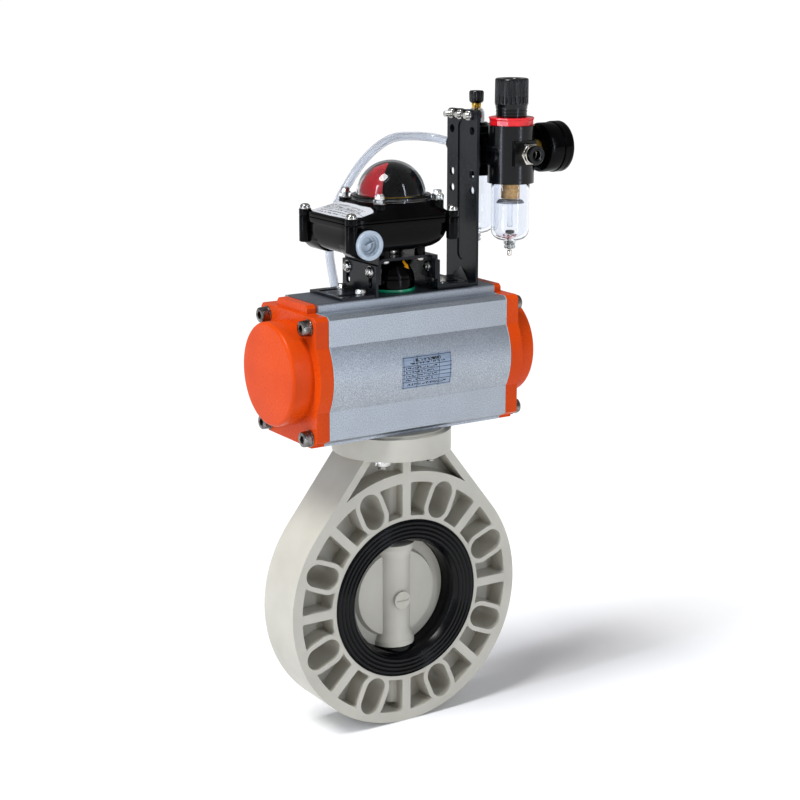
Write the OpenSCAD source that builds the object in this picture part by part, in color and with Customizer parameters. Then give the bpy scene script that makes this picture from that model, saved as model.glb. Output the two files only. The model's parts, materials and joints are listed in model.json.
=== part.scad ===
// Air-actuated wafer butterfly valve: plastic valve body, rack-and-pinion actuator, position
// switch box and filter-regulator-lubricator set.
// Origin: centre of the pipe bore. +X: along the actuator. +Y: along the pipe. +Z: up the stem.

/* [Valve] */
// Outside radius of the wafer body
body_r = 114.5; // [112:0.5:118]
// Width of the plastic body between its two faces
body_w = 50; // [48:1:54]
// Radius of the pipe bore inside the rubber seat
bore_r = 51; // [50:0.5:52]
// Outside radius of the rubber seat's sealing face
seat_r = 71.5; // [70:0.5:72]
// How far the seat stands proud of each body face
seat_lip = 1; // [0.5:0.5:2]
// Width of a bolt slot
slot_w = 20; // [18:1:21]
// Radius of the round actuator pad
pad_r = 51.9; // [50:0.1:53]

/* [Actuator] */
// Half length of the aluminium body
act_l = 88; // [86:1:92]
// Half thickness across the flat sides
act_y = 45.6; // [45:0.1:47]
// Radius of the rounded side bulge
bulge_r = 53; // [52:0.5:54]
// Cylinder bore radius
cyl_r = 46; // [45:0.5:46]
// Height of the cylinder axis above the pipe axis
act_z = 211; // [210:0.5:212]
// Number of pinion teeth
teeth = 16; // [16:4:16]
// Gear module
gear_m = 2; // [2:1:2]

/* [Switch box] */
// Height of the seam between base and cover
seam_z = 334.4; // [334:0.1:335]
// Outside radius of the clear dome
dome_r = 29.7; // [29:0.1:30]
// Height of the dome's base
dome_z = 351; // [350.5:0.5:352]

/* [Air unit] */
// Distance of the air unit's axes from the stem
unit_x = 105; // [104:1:108]
// Distance of each module's axis from the middle plane
unit_y = 26; // [26:1:27]
// Radius of the regulator's body
unit_r = 20.1; // [19.5:0.1:20.2]
// Outside radius of a clear bowl
bowl_r = 16.5; // [16:0.5:17]
// Outside radius of the air tube
tube_r = 4; // [4:1:4]

/* [Hidden] */
$fn = 64;
beige = "#c9c5b8";
black = "#18181a";
steel = "#b9bbbd";
orange = "#e8561f";
alloy = "#aeb1b4";
clear = "#dfe8ee";
brass = "#b99552";

half_w = body_w / 2;
pad_z0 = 131.6;
pad_z1 = 151;
act_z0 = 153;
act_z1 = 263;
top_z = 270.5;
top_y = 28;
neck_a = 37.8;
slot_r0 = 74.5;
slot_r1 = 108;
slot_wall = 4;
rib = 4;
web = 5;
stem_r = 9;
square_w = 14;
hub_z = 46.5;
boss_r = 20.5;
f07 = 24.75;
pitch_r = gear_m * teeth / 2;
tooth_t = 2.6;
rack_add = 1.7;
cap_x = 101;
dome_x = 121;
cap_r = 43.7;
cap_y = 34.7;
cap_zs = [161.5, 254];
gasket_t = 0.5;
side_x = 29.5;
plate_t = 2.5;
screw_y = 18;
screw_z = 291;
foot_y = 15;
foot_x = 40;
stand = 17.5;
ear_x = [-61.9, 37.1];
ear_y = 37.5;
plate_x = 72;
plate_y = 22.5;
bowl_z0 = 308;
bowl_z1 = 357.6;
port_z = 384;
face_y = unit_y + 21.5;
gauge_z = 385.7;
pilot_z0 = 192;
pilot_z1 = 230;
pilot_y0 = 54;
pilot_y1 = 84;
drop = [-14, 69];

// ---------- shared shapes ----------

// Extrudes an X-Z outline from y0 to y1.
module across(y0, y1) {
  translate([0, y1, 0]) rotate([90, 0, 0]) linear_extrude(y1 - y0) children();
}

// Extrudes a Y-Z outline from x0 to x1.
module along(x0, x1) {
  translate([x0, 0, 0]) rotate([90, 0, 90]) linear_extrude(x1 - x0) children();
}

// Cylinder along Y through (x, z).
module rod_y(x, z, r, y0, y1, fn = 64) {
  translate([x, y1, z]) rotate([90, 0, 0]) cylinder(r = r, h = y1 - y0, $fn = fn);
}

// Cylinder along X through (y, z).
module rod_x(y, z, r, x0, x1, fn = 64) {
  translate([x0, y, z]) rotate([0, 90, 0]) cylinder(r = r, h = x1 - x0, $fn = fn);
}

// Cylinder along Z through (x, y).
module rod_z(x, y, r, z0, z1, fn = 64) {
  translate([x, y, z0]) cylinder(r = r, h = z1 - z0, $fn = fn);
}

// Axis-aligned block between two corners.
module block(a, b) {
  translate(a) cube(b - a);
}

// Flat rectangle with round corners, centred.
module round_rect(w, h, r) {
  square([w - 2 * r, h], center = true);
  square([w, h - 2 * r], center = true);
  for (x = [-1, 1], y = [-1, 1]) translate([x * (w / 2 - r), y * (h / 2 - r)]) circle(r);
}

// Slot with round ends from a to b along the first axis.
module slot_flat(a, b, w) {
  translate([a + w / 2, -w / 2]) square([b - a - w, w]);
  translate([a + w / 2, 0]) circle(d = w);
  translate([b - w / 2, 0]) circle(d = w);
}

// Half outline of a round cup or lid: flat top at z1, rounded outer corner f at z0.
module cup_half(r, z0, z1, f) {
  translate([0, z0]) square([r - f, f]);
  translate([0, z0 + f]) square([r, z1 - z0 - f]);
  intersection() {
    translate([r - f, z0 + f]) circle(f);
    translate([0, z0]) square([r, f]);
  }
}

// Turns a half outline about the line (x, y).
module turned(x, y) {
  translate([x, y, 0]) rotate_extrude($fn = 64) children();
}

// Pan-head screw with its head on +Z at the origin and its shank below.
module pan_screw(head_r, head_h, shank_r, l) {
  difference() {
    union() {
      cylinder(r = head_r, h = head_h * 0.55);
      translate([0, 0, head_h * 0.5]) cylinder(r = head_r * 0.78, h = head_h * 0.5);
    }
    translate([-head_r, -0.5, head_h * 0.7]) cube([2 * head_r, 1, head_h]);
  }
  translate([0, 0, -l]) cylinder(r = shank_r, h = l);
}

// Hexagon of the given width across flats.
module hexagon(af, h) {
  cylinder(d = af / cos(30), h = h, $fn = 6);
}

// ---------- valve ----------

// Distance from the middle to the sloping neck's edge at height z, set in by d.
function neck_x(z, d) = (body_r - d - z * sin(neck_a)) / cos(neck_a);

module body_outline() {
  circle(body_r, $fn = 128);
  polygon([[body_r * cos(neck_a), body_r * sin(neck_a)], [neck_x(pad_z0 + 1, 0), pad_z0 + 1],
    [-neck_x(pad_z0 + 1, 0), pad_z0 + 1], [-body_r * cos(neck_a), body_r * sin(neck_a)]]);
}

module pocket_flat() {
  difference() {
    circle(105, $fn = 128);
    circle(75, $fn = 128);
    for (k = [0:7]) {
      rotate(k * 45) translate([0, -rib]) square([body_r, 2 * rib]);
      rotate(k * 45 + 22.5) slot_flat(slot_r0 - slot_wall, slot_r1 + slot_wall, slot_w + 2 * slot_wall);
    }
  }
}

module window_flat() {
  difference() {
    for (s = [-1, 1]) {
      polygon([[s * rib, 100], [s * rib, pad_z0], [s * neck_x(pad_z0, 7), pad_z0], [s * neck_x(90, 7), 90]]);
    }
    circle(body_r, $fn = 128);
  }
}

module valve_body() {
  color(beige) difference() {
    union() {
      difference() {
        across(-half_w, half_w) body_outline();
        for (s = [-1, 1]) {
          across(min(s * web, s * half_w + s), max(s * web, s * half_w + s)) pocket_flat();
          across(min(s * web, s * half_w + s), max(s * web, s * half_w + s)) window_flat();
        }
      }
      rod_z(0, 0, 15, 60, pad_z0 + 1);
      rod_z(0, 0, 15, -100, -60);
      rod_z(0, 0, pad_r, pad_z0, pad_z1);
      rod_z(0, 0, 47, pad_z1, act_z0);
    }
    rod_y(0, 0, 58, -half_w - 1, half_w + 1);
    rod_y(0, 0, seat_r, -half_w - 1, -half_w + 4);
    rod_y(0, 0, seat_r, half_w - 4, half_w + 1);
    for (k = [0:7]) {
      across(-half_w - 1, half_w + 1) rotate(k * 45 + 22.5) slot_flat(slot_r0, slot_r1, slot_w);
    }
    rod_z(0, 0, 12, 50, act_z0 + 1);
    rod_z(0, 0, 12, -84, -50);
    for (x = [-1, 1], y = [-1, 1]) rod_z(x * f07, y * f07, 4.4, pad_z0 - 1, act_z0 + 1);
  }
}

module seat_liner() {
  color("#1b1c1e") difference() {
    union() {
      difference() {
        rod_y(0, 0, 57.98, -half_w - seat_lip, half_w + seat_lip);
        rod_y(0, 0, bore_r, -half_w - 5, half_w + 5);
      }
      for (s = [-1, 1]) {
        rod_y(0, 0, seat_r - 0.05, s > 0 ? half_w - 4 : -half_w - seat_lip,
          s > 0 ? half_w + seat_lip : -half_w + 4);
        rod_z(0, 0, boss_r, s > 0 ? hub_z + 0.2 : -53, s > 0 ? 53 : -hub_z - 0.2);
      }
    }
    for (s = [-1, 1]) {
      rod_y(0, 0, bore_r, s > 0 ? half_w - 4.5 : -half_w - 5, s > 0 ? half_w + 5 : -half_w + 4.5);
    }
    for (s = [-1, 1]) translate([0, s * (half_w + seat_lip + 0.01), 0]) rotate([90 * s, 0, 0]) {
      cylinder(r1 = 54.2, r2 = bore_r, h = 5);
      for (r = [57.5, 61.5, 65.5]) rotate_extrude() translate([r, 0]) circle(0.7, $fn = 24);
    }
    rod_z(0, 0, stem_r + 0.06, -70, 70);
  }
}

module disc() {
  color(beige) difference() {
    intersection() {
      sphere(bore_r - 0.4, $fn = 96);
      block([-60, -30, -hub_z], [60, 30, hub_z]);
      union() {
        rod_y(0, 0, 60, -3.5, 3.5);
        rotate([90, 0, 0]) cylinder(r1 = 43, r2 = 39, h = 8);
        rotate([-90, 0, 0]) cylinder(r1 = 43, r2 = 39, h = 8);
        rod_z(0, 0, 16.4, -hub_z, hub_z);
        for (s = [-1, 1]) {
          rod_z(0, 0, 20, s > 0 ? 42.3 : -hub_z, s > 0 ? hub_z : -42.3);
          translate([0, 0, s * 34]) rotate([s > 0 ? 0 : 180, 0, 0]) cylinder(r1 = 16.4, r2 = 19.6, h = 8.4);
        }
      }
    }
    rod_z(0, 0, stem_r + 0.03, -60, 60);
    rod_y(0, -4, 6.05, -30, -10);
  }
}

module disc_plug() {
  color(beige) difference() {
    union() {
      rod_y(0, -4, 8, -18.6, -16.5);
      rod_y(0, -4, 6, -17, -10);
    }
    block([-6, -21, -4.8], [6, -17.8, -3.2]);
    rod_z(0, 0, 9.1, -20, 20);
    difference() {
      rod_z(0, 0, 16.45, -20, 20);
      rod_y(0, -4, 6, -30, 0);
    }
  }
}

module stem() {
  color(steel) {
    rod_z(0, 0, stem_r, -80, 152);
    block([-square_w / 2, -square_w / 2, 152], [square_w / 2, square_w / 2, 172]);
  }
}

module bush(r0, r1, z0, z1) {
  difference() {
    rod_z(0, 0, r1, z0, z1);
    rod_z(0, 0, r0, z0 - 1, z1 + 1);
  }
}

module shaft_bushes() {
  color("#d9d4c4") {
    bush(stem_r + 0.05, 11.97, 66, 104);
    bush(stem_r + 0.05, 11.97, 112, 140);
    bush(stem_r + 0.05, 11.97, -83.9, -60);
    bush(13.05, 16.95, 153.6, 164.5);
    bush(11.05, 14.45, 255.5, 270);
  }
}

module ring(major, minor, z) {
  translate([0, 0, z]) rotate_extrude() translate([major, 0]) circle(minor, $fn = 24);
}

module stem_seals() {
  color(black) for (z = [106, 110]) ring(stem_r + 1.5, 1.44, z);
}

module pad_bolts() {
  color(steel) for (x = [-1, 1], y = [-1, 1]) translate([x * f07, y * f07, 0]) {
    translate([0, 0, 124.7]) hexagon(13, 5.3);
    rod_z(0, 0, 8, 130, pad_z0);
    rod_z(0, 0, 4, pad_z0 - 0.5, 163.5);
    rod_z(0, 0, 4, 121.5, 125);
  }
}

// ---------- actuator ----------

// Half of the extruded section in Y-Z, without the raised top.
module act_flat() {
  for (s = [-1, 1]) {
    polygon([[0, act_z0], [s * 36.5, act_z0], [s * 36.5, act_z0 + 2], [s * act_y, 159.5], [s * act_y, 260],
      [s * (act_y - 3), act_z1], [0, act_z1]]);
  }
  intersection() {
    translate([0, act_z]) circle(bulge_r, $fn = 128);
    translate([-60, 180]) square([120, 62]);
  }
}

module act_section() {
  difference() {
    union() {
      act_flat();
      translate([-top_y, act_z1 - 1]) square([2 * top_y, top_z - act_z1 + 1 - 2]);
      translate([-top_y + 2, act_z1 - 1]) square([2 * top_y - 4, top_z - act_z1 + 1]);
      for (s = [-1, 1]) translate([s * (top_y - 2), top_z - 2]) circle(2);
    }
    for (s = [-1, 1]) translate([s * (top_y + 2.2), act_z1]) circle(2.2);
  }
}

module actuator_body() {
  color(alloy) difference() {
    union() {
      along(-act_l, act_l) act_section();
      block([-32, 40, 190], [32, pilot_y0, 232]);
    }
    rod_x(0, act_z, cyl_r, -act_l - 1, act_l + 1, 128);
    rod_z(0, 0, 17, 150, 180);
    rod_z(0, 0, 14.5, 240, 280);
    for (x = [-1, 1], y = [-1, 1]) rod_z(x * f07, y * f07, 4.05, 150, 164);
    for (x = [-1, 1], y = [-1, 1]) rod_z(x * foot_x, y * foot_y, 2.55, 260, 280);
    for (s = [-1, 1], y = [-1, 1], z = cap_zs) {
      rod_x(y * cap_y, z, 4.05, s > 0 ? 66 : -act_l - 1, s > 0 ? act_l + 1 : -66);
    }
    for (s = [-1, 1]) rod_y(s * 12, act_z, 4, 40, 60);
  }
}

module end_cap(s) {
  color(orange) difference() {
    union() {
      along(s > 0 ? act_l + gasket_t : -cap_x, s > 0 ? cap_x : -act_l - gasket_t) act_flat();
      along(s > 0 ? act_l + gasket_t : -97, s > 0 ? 97 : -act_l - gasket_t) {
        polygon([[-25, 262], [25, 262], [25, 267.5], [22.5, 270], [-22.5, 270], [-25, 267.5]]);
      }
      translate([0, 0, act_z]) rotate([0, s * -90, 0]) rotate_extrude($fn = 96) {
        cup_half(cap_r, -dome_x, -96, 3);
      }
    }
    translate([0, 0, act_z]) rotate([0, s * -90, 0]) rotate_extrude($fn = 96) {
      cup_half(39.5, -117, -80, 3);
    }
    for (y = [-1, 1], z = cap_zs) {
      rod_x(y * cap_y, z, 4.5, s > 0 ? 80 : -cap_x - 1, s > 0 ? cap_x + 1 : -80);
      rod_x(y * cap_y, z, 7.3, s > 0 ? cap_x : -130, s > 0 ? 130 : -cap_x);
    }
  }
}

module end_cap_left() { end_cap(-1); }
module end_cap_right() { end_cap(1); }

module cap_gaskets() {
  color("#8fc7cc") for (s = [-1, 1]) {
    along(s > 0 ? act_l : -act_l - gasket_t, s > 0 ? act_l + gasket_t : -act_l) difference() {
      act_flat();
      translate([0, act_z]) circle(cyl_r, $fn = 128);
      for (y = [-1, 1], z = cap_zs) translate([y * cap_y, z]) circle(4.4);
    }
  }
}

module cap_screws() {
  color(steel) for (s = [-1, 1], y = [-1, 1], z = cap_zs) {
    translate([s * cap_x, y * cap_y, z]) rotate([0, s * 90, 0]) {
      difference() {
        cylinder(r = 6.5, h = 8);
        translate([0, 0, 3.8]) hexagon(6, 5);
      }
      translate([0, 0, -30]) cylinder(r = 4, h = 30.5);
    }
  }
}

module nameplate() {
  color("#b8c4cf") intersection() {
    difference() {
      rod_x(0, act_z, bulge_r + 0.5, -22.5, 27, 128);
      rod_x(0, act_z, bulge_r, -30, 30, 128);
    }
    across(-60, -40) translate([2.2, 209.5]) round_rect(49, 28, 2.5);
  }
}

// Straight-flanked teeth along X, pointing to -Y, with the pitch line on Y = 0.
module rack_flat(x0, x1) {
  pitch = PI * gear_m;
  n0 = ceil(x0 / pitch + 0.5);
  n1 = floor(x1 / pitch - 0.5);
  dy = tan(20);
  for (n = [n0:n1]) {
    x = (n - 0.5) * pitch;
    w = tooth_t / 2;
    polygon([[x - w + rack_add * dy, -rack_add], [x + w - rack_add * dy, -rack_add],
      [x + w + 2.4 * dy, 2.4], [x - w - 2.4 * dy, 2.4]]);
  }
  translate([x0, 2.3]) square([x1 - x0, 10.7]);
}

// Piston on the left, its rack arm reaching along +Y.
module piston_shape() {
  difference() {
    union() {
      rod_x(0, act_z, cyl_r - 0.06, -56, -40, 128);
      translate([0, 0, 197]) linear_extrude(28) translate([0, pitch_r]) rack_flat(-42, 36.5);
    }
    difference() {
      rod_x(0, act_z, cyl_r + 1, -50.2, -45.8, 128);
      rod_x(0, act_z, 43, -51, -45, 128);
    }
    rod_x(0, act_z, 30, -60, -52);
  }
}

module seal_shape() {
  difference() {
    rod_x(0, act_z, cyl_r - 0.05, -50, -46, 128);
    rod_x(0, act_z, 43.02, -51, -45, 128);
  }
}

module piston_left() { color("#c9ccd0") piston_shape(); }
module piston_right() { color("#c9ccd0") rotate([0, 0, 180]) piston_shape(); }
module piston_seal_left() { color(black) seal_shape(); }
module piston_seal_right() { color(black) rotate([0, 0, 180]) seal_shape(); }

// Involute flank: radius and polar angle at roll angle a, in degrees.
base_r = pitch_r * cos(20);
function roll(r) = r <= base_r ? 0 : sqrt((r / base_r) * (r / base_r) - 1) * 180 / PI;
function flank(r) = roll(r) - atan(roll(r) * PI / 180);
half_t = tooth_t / 2 / pitch_r * 180 / PI;
function edge(r, s) = let (a = s * (half_t + flank(pitch_r) - flank(r))) [r * cos(a), r * sin(a)];

module pinion_flat() {
  circle(13.4);
  for (k = [0:teeth - 1]) rotate(k * 360 / teeth) {
    polygon(concat([for (r = [13.2:0.9:17.7]) edge(r, -1)], [for (r = [17.7:-0.9:13.2]) edge(r, 1)]));
  }
}

module pinion() {
  color("#8d9094") difference() {
    union() {
      rod_z(0, 0, 13, 154, 191);
      translate([0, 0, 190]) linear_extrude(42) pinion_flat();
      rod_z(0, 0, 11, 231, 272);
      rod_z(0, 0, 8.9, 271, 286);
    }
    block([-square_w / 2 - 0.05, -square_w / 2 - 0.05, 150], [square_w / 2 + 0.05, square_w / 2 + 0.05, 175]);
  }
}

// Angle of the position arrow about the stem.
arrow_a = 292;

module indicator_puck() {
  color(black) difference() {
    union() {
      rod_z(0, 0, 20, 273.4, 285);
      translate([0, 0, 285]) cylinder(r1 = 20, r2 = 12.5, h = 13);
    }
    rod_z(0, 0, 8.95, 270, 286);
    rod_z(0, 0, 6.05, 285, 300);
    rotate([0, 0, arrow_a]) translate([14, -3, 288]) rotate([0, 30, 0]) cube([6, 6, 9]);
  }
}

module puck_arrow() {
  color("#f0a81c") intersection() {
    rotate([0, 0, arrow_a]) translate([14.02, -2.95, 288.02]) rotate([0, 30, 0]) cube([5.9, 5.9, 8.9]);
    translate([0, 0, 285]) cylinder(r1 = 20.4, r2 = 12.9, h = 13);
  }
}

module puck_ring() {
  color("#1c9c70") bush(12, 20.4, 270.8, 273.4);
}

// ---------- switch box bracket ----------

// Bent foot: side plate with two height slots and a foot with two long slots.
module foot(z0, end_x) {
  difference() {
    union() {
      block([-side_x - plate_t, -27, z0], [-side_x, 27, 297]);
      block([-end_x, -26, z0], [-side_x - plate_t, 26, z0 + plate_t]);
    }
    for (y = [-1, 1]) {
      along(-side_x - 9, -side_x + 1) translate([y * screw_y, 0]) rotate(90) slot_flat(277, 294, 5.6);
      translate([0, y * foot_y, z0 - 1]) linear_extrude(9) slot_flat(-end_x + 3, -foot_x + 3, 6);
    }
  }
}

module foot_left() { color(black) foot(top_z, 65); }
module foot_right() { color(black) rotate([0, 0, 180]) foot(top_z + plate_t, 62); }

module bridge_bracket() {
  color(black) difference() {
    union() {
      block([-side_x, -27, 299], [side_x, 27, 299 + plate_t]);
      for (s = [-1, 1]) {
        block([s > 0 ? side_x - plate_t : -side_x, -27, 281], [s > 0 ? side_x : -side_x + plate_t, 27, 300]);
      }
    }
    rod_z(0, 0, 11.5, 290, 310);
    for (s = [-1, 1]) block([-24, s > 0 ? 22 : -30, 290], [24, s > 0 ? 30 : -22, 310]);
    for (x = [-1, 1], y = [-1, 1]) rod_z(x * stand, y * stand, 2.6, 290, 310);
    for (y = [-1, 1]) rod_x(y * screw_y, screw_z, 2.6, -40, 40);
  }
}

module bracket_screws() {
  color(steel) {
    for (s = [-1, 1], y = [-1, 1]) {
      translate([s * (side_x + plate_t), y * screw_y, screw_z]) rotate([0, s * 90, 0]) pan_screw(4.6, 3.4, 2.5, 10);
      translate([s * (side_x - plate_t), y * screw_y, screw_z]) rotate([0, s * -90, 0]) nut(8, 3.6, 2.5);
      translate([s * foot_x, y * foot_y, s > 0 ? top_z + 2 * plate_t : top_z + plate_t]) {
        hexagon(8, 4);
        rod_z(0, 0, 2.5, s > 0 ? -14 : -11, 0.5);
      }
    }
  }
}

module nut(af, h, r) {
  difference() {
    hexagon(af, h);
    translate([0, 0, -1]) cylinder(r = r, h = h + 2);
  }
}

// ---------- switch box ----------

box_cx = (ear_x[0] + ear_x[1]) / 2;
box_l = 103;
box_w = 78;
rim_z = 330;
rim_step = 1.5;

// Upright block of the box's plan, shrunk by d, cut by a side view and an end view.
module box_shell(d, z0, z1, side, ends) {
  intersection() {
    translate([box_cx, 0, z0]) linear_extrude(z1 - z0) round_rect(box_l - 2 * d, box_w - 2 * d, 9 - d);
    across(-60, 60) polygon(side);
    along(-80, 60) polygon(ends);
  }
}

// Underside of the base, raised by d.
function base_side(d) = [[-70, 340], [-70, 322 + d], [-58, 308 + d], [27, 308 + d], [48, 327 + d], [48, 340]];
function base_ends(d) = [[-50, 340], [-50, 326 + d], [-28, 308 + d], [28, 308 + d], [50, 326 + d], [50, 340]];
// Roof of the cover, lowered by d.
function roof_side(d) = [[-70, 320], [-70, 336 - d], [-34, 348.5 - d], [34, 348.5 - d], [46, 324.3 - d]];
function roof_ends(d) = [[-46, 325.1 - d], [-33.5, 348.5 - d], [33.5, 348.5 - d], [46, 325.1 - d]];

module switch_base() {
  color(black) difference() {
    union() {
      box_shell(rim_step, 300, seam_z, base_side(0), base_ends(0));
      box_shell(0, rim_z, seam_z, base_side(0), base_ends(0));
      for (x = ear_x, y = [-1, 1]) rod_z(x, y * ear_y, 5.3, x < 0 ? 312 : 316, seam_z);
      for (x = [-1, 1], y = [-1, 1]) rod_z(x * stand, y * stand, 4.6, 301.5, 312);
      for (y = [-1, 1]) rod_y(-48.7, 318, 13.2, y > 0 ? 20 : -42, y > 0 ? 42 : -20);
    }
    translate([0, 0, 0.1]) box_shell(rim_step + 3, 305, seam_z + 1, base_side(4), base_ends(4));
    rod_z(0, 0, 6.1, 300, 320);
    for (x = ear_x, y = [-1, 1]) rod_z(x, y * ear_y, 2.3, 319, seam_z + 1);
    for (x = [-1, 1], y = [-1, 1]) rod_z(x * stand, y * stand, 2.3, 300, 309.5);
    for (y = [-1, 1]) {
      rod_y(-48.7, 318, 9.6, y > 0 ? 33 : -43, y > 0 ? 43 : -33);
      rod_y(-48.7, 318, 12.5, y > 0 ? 42 : -46, y > 0 ? 46 : -42);
    }
  }
}

module switch_cover() {
  color(black) difference() {
    union() {
      box_shell(0, seam_z, 348.5, roof_side(0), roof_ends(0));
      for (x = ear_x, y = [-1, 1]) rod_z(x, y * ear_y, 5.3, seam_z, 340);
      for (x = [-1, 1], y = [-1, 1]) rod_z(x * 28.5, y * 27.5, 5.3, 336, 348.5);
    }
    box_shell(3.5, seam_z - 1, 345, roof_side(4), roof_ends(4));
    rod_z(0, 0, 27.6, 340, 350);
    for (x = ear_x, y = [-1, 1]) {
      rod_z(x, y * ear_y, 2.3, seam_z - 1, 341);
      rod_z(x, y * ear_y, 5.3, 340, 350);
    }
    for (x = [-1, 1], y = [-1, 1]) rod_z(x * 28.5, y * 27.5, 2.3, 338, 350);
  }
}

module box_screws() {
  color(steel) {
    for (x = ear_x, y = [-1, 1]) translate([x, y * ear_y, 340]) pan_screw(4.5, 4.2, 2.25, 20);
    for (x = [-1, 1], y = [-1, 1]) {
      translate([x * 28.5, y * 27.5, 352.5]) {
        hexagon(7, 4);
        rod_z(0, 0, 2.25, -13, 0.5);
      }
      translate([x * stand, y * stand, 299]) rotate([180, 0, 0]) pan_screw(4.2, 3.2, 2.25, 10);
    }
  }
}

module switch_shaft() {
  color(steel) {
    rod_z(0, 0, 6, 287, 349);
    rod_z(0, 0, 26.6, 348.8, 350.8);
  }
}

module switch_cams() {
  color("#d8c9a0") for (k = [0, 1]) rotate([0, 0, k * 90 + 135]) difference() {
    union() {
      rod_z(0, 0, 12.5, 319 + k * 7, 323 + k * 7);
      rod_z(3.4, 0, 12.5, 319 + k * 7, 323 + k * 7);
    }
    rod_z(0, 0, 6.05, 310, 340);
  }
}

module micro_switches() {
  color("#2b2b2e") for (k = [0, 1]) {
    block([-38, -9, 318 + k * 7], [-18, 9, 324 + k * 7]);
  }
}

// Shell quarter between radii r0 and r1, starting at angle a.
module shell_quarter(r0, r1, a, z0) {
  difference() {
    intersection() {
      translate([0, 0, dome_z]) sphere(r1, $fn = 96);
      rotate([0, 0, a]) translate([0, 0, z0]) cube([40, 40, 40]);
    }
    translate([0, 0, dome_z]) sphere(r0, $fn = 96);
  }
}

module indicator_mask() {
  color(black) for (k = [0, 1]) shell_quarter(27.4, 28.1, k * 180 - 138, 352);
}

module indicator_red() {
  color("#c8141e") for (k = [0, 1]) shell_quarter(25.6, 27, k * 180 - 48, 350.8);
}

module indicator_yellow() {
  color("#f2c21a") for (k = [0, 1]) shell_quarter(25.6, 27, k * 180 - 138, 350.8);
}

module indicator_dome() {
  color(clear, 0.35) difference() {
    union() {
      translate([0, 0, dome_z]) sphere(dome_r, $fn = 96);
      rod_z(0, 0, 34.5, 348.5, 352);
      for (x = [-1, 1], y = [-1, 1]) rod_z(x * 28.5, y * 27.5, 5.6, 348.5, 352.5);
    }
    translate([0, 0, dome_z]) sphere(28.2, $fn = 96);
    rod_z(0, 0, 27.6, 340, 352);
    rod_z(0, 0, 50, 300, 348.5);
    for (x = [-1, 1], y = [-1, 1]) rod_z(x * 28.5, y * 27.5, 2.35, 340, 353);
  }
}

module conduit_plugs() {
  color("#b9c2c8", 0.7) for (s = [-1, 1]) translate([-48.7, s * 42, 318]) rotate([s * -90, 0, 0]) difference() {
    union() {
      cylinder(r = 12.2, h = 4);
      translate([0, 0, -8.5]) cylinder(r = 9.5, h = 9);
    }
    translate([0, 0, -2]) cylinder(r = 8, h = 8);
  }
}

// ---------- air unit ----------

module plate_flat() {
  translate([-plate_y, top_z]) square([2 * plate_y, 145]);
  translate([0, 400]) round_rect(2 * plate_y, 39, 5);
}

module air_bracket() {
  color(black) {
    difference() {
      union() {
        along(plate_x, plate_x + plate_t) plate_flat();
        block([33, -plate_y, top_z], [plate_x + 1, plate_y, top_z + plate_t]);
        polyhedron([[plate_x + 0.5, -12, 272], [plate_x + 0.5, 12, 272], [plate_x + 0.5, 0, 285],
          [60, 0, 272]], [[0, 2, 1], [0, 1, 3], [1, 2, 3], [0, 3, 2]]);
      }
      along(plate_x - 1, plate_x + 1) rotate(90) slot_flat(290, 410, 12);
      for (y = [-15, 15], z = [351.5, 365.5, 402]) rod_x(y, z, 3.5, 60, 80);
      for (y = [-12.7, 0, 12.6]) rod_x(y, 415, 2.6, 60, 80);
      for (y = [-1, 1]) rod_z(foot_x, y * foot_y, 2.6, 260, 280);
    }
  }
}

module module_clamp() {
  color(black) difference() {
    union() {
      along(plate_x + plate_t, plate_x + plate_t + 3) {
        polygon([[-20, 372], [20, 372], [20, 419], [-20, 419], [-20, 409], [-9, 398], [-20, 390]]);
      }
      block([plate_x + plate_t, -4, 372], [unit_x + 12, 4, 398]);
    }
    for (y = [-12.7, 0, 12.6]) rod_x(y, 415, 2.6, 60, 80);
  }
}

module clamp_bolts() {
  color(steel) for (y = [-12.7, 0, 12.6]) translate([0, y, 415]) {
    translate([plate_x + plate_t + 3, 0, 0]) rotate([0, 90, 0]) hexagon(8, 3.5);
    rod_x(0, 0, 2.5, y > 0 ? 62.5 : 65.5, plate_x + plate_t + 4);
    translate([plate_x - 3.6, 0, 0]) rotate([0, 90, 0]) nut(8, 3.6, 2.55);
  }
}

// One module's cast body: round barrel, flange towards the clamp, port face outwards.
module module_casting(s, z0, z1, r) {
  rod_z(unit_x, s * unit_y, r, z0, z1);
  block([unit_x - 11, s > 0 ? 4 : -face_y, port_z - 10.5], [unit_x + 11, s > 0 ? face_y : -4, port_z + 10.5]);
}

module regulator_body() {
  color(black) difference() {
    union() {
      module_casting(-1, bowl_z1, 406.5, unit_r);
      rod_z(unit_x, -unit_y, 12.4, 406, 420);
      rod_x(-unit_y, gauge_z, 9, unit_x + 15, unit_x + 20.6);
      rod_x(-unit_y, port_z - 2, 8.5, unit_x - 22.5, unit_x - 15);
    }
    rod_x(-unit_y, port_z - 2, 3.5, unit_x - 25, unit_x - 18);
    rod_y(unit_x, port_z, 6.55, -face_y - 1, -face_y + 10);
    rod_x(-unit_y, gauge_z, 5.05, unit_x + 14, unit_x + 25);
    rod_z(unit_x, -unit_y, 16.6, bowl_z1 - 1, bowl_z1 + 6);
    rod_z(unit_x, -unit_y, 4.05, 404, 421);
  }
}

module regulator_spindle() {
  color(steel) rod_z(unit_x, -unit_y, 4, 405, 438);
}

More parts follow.
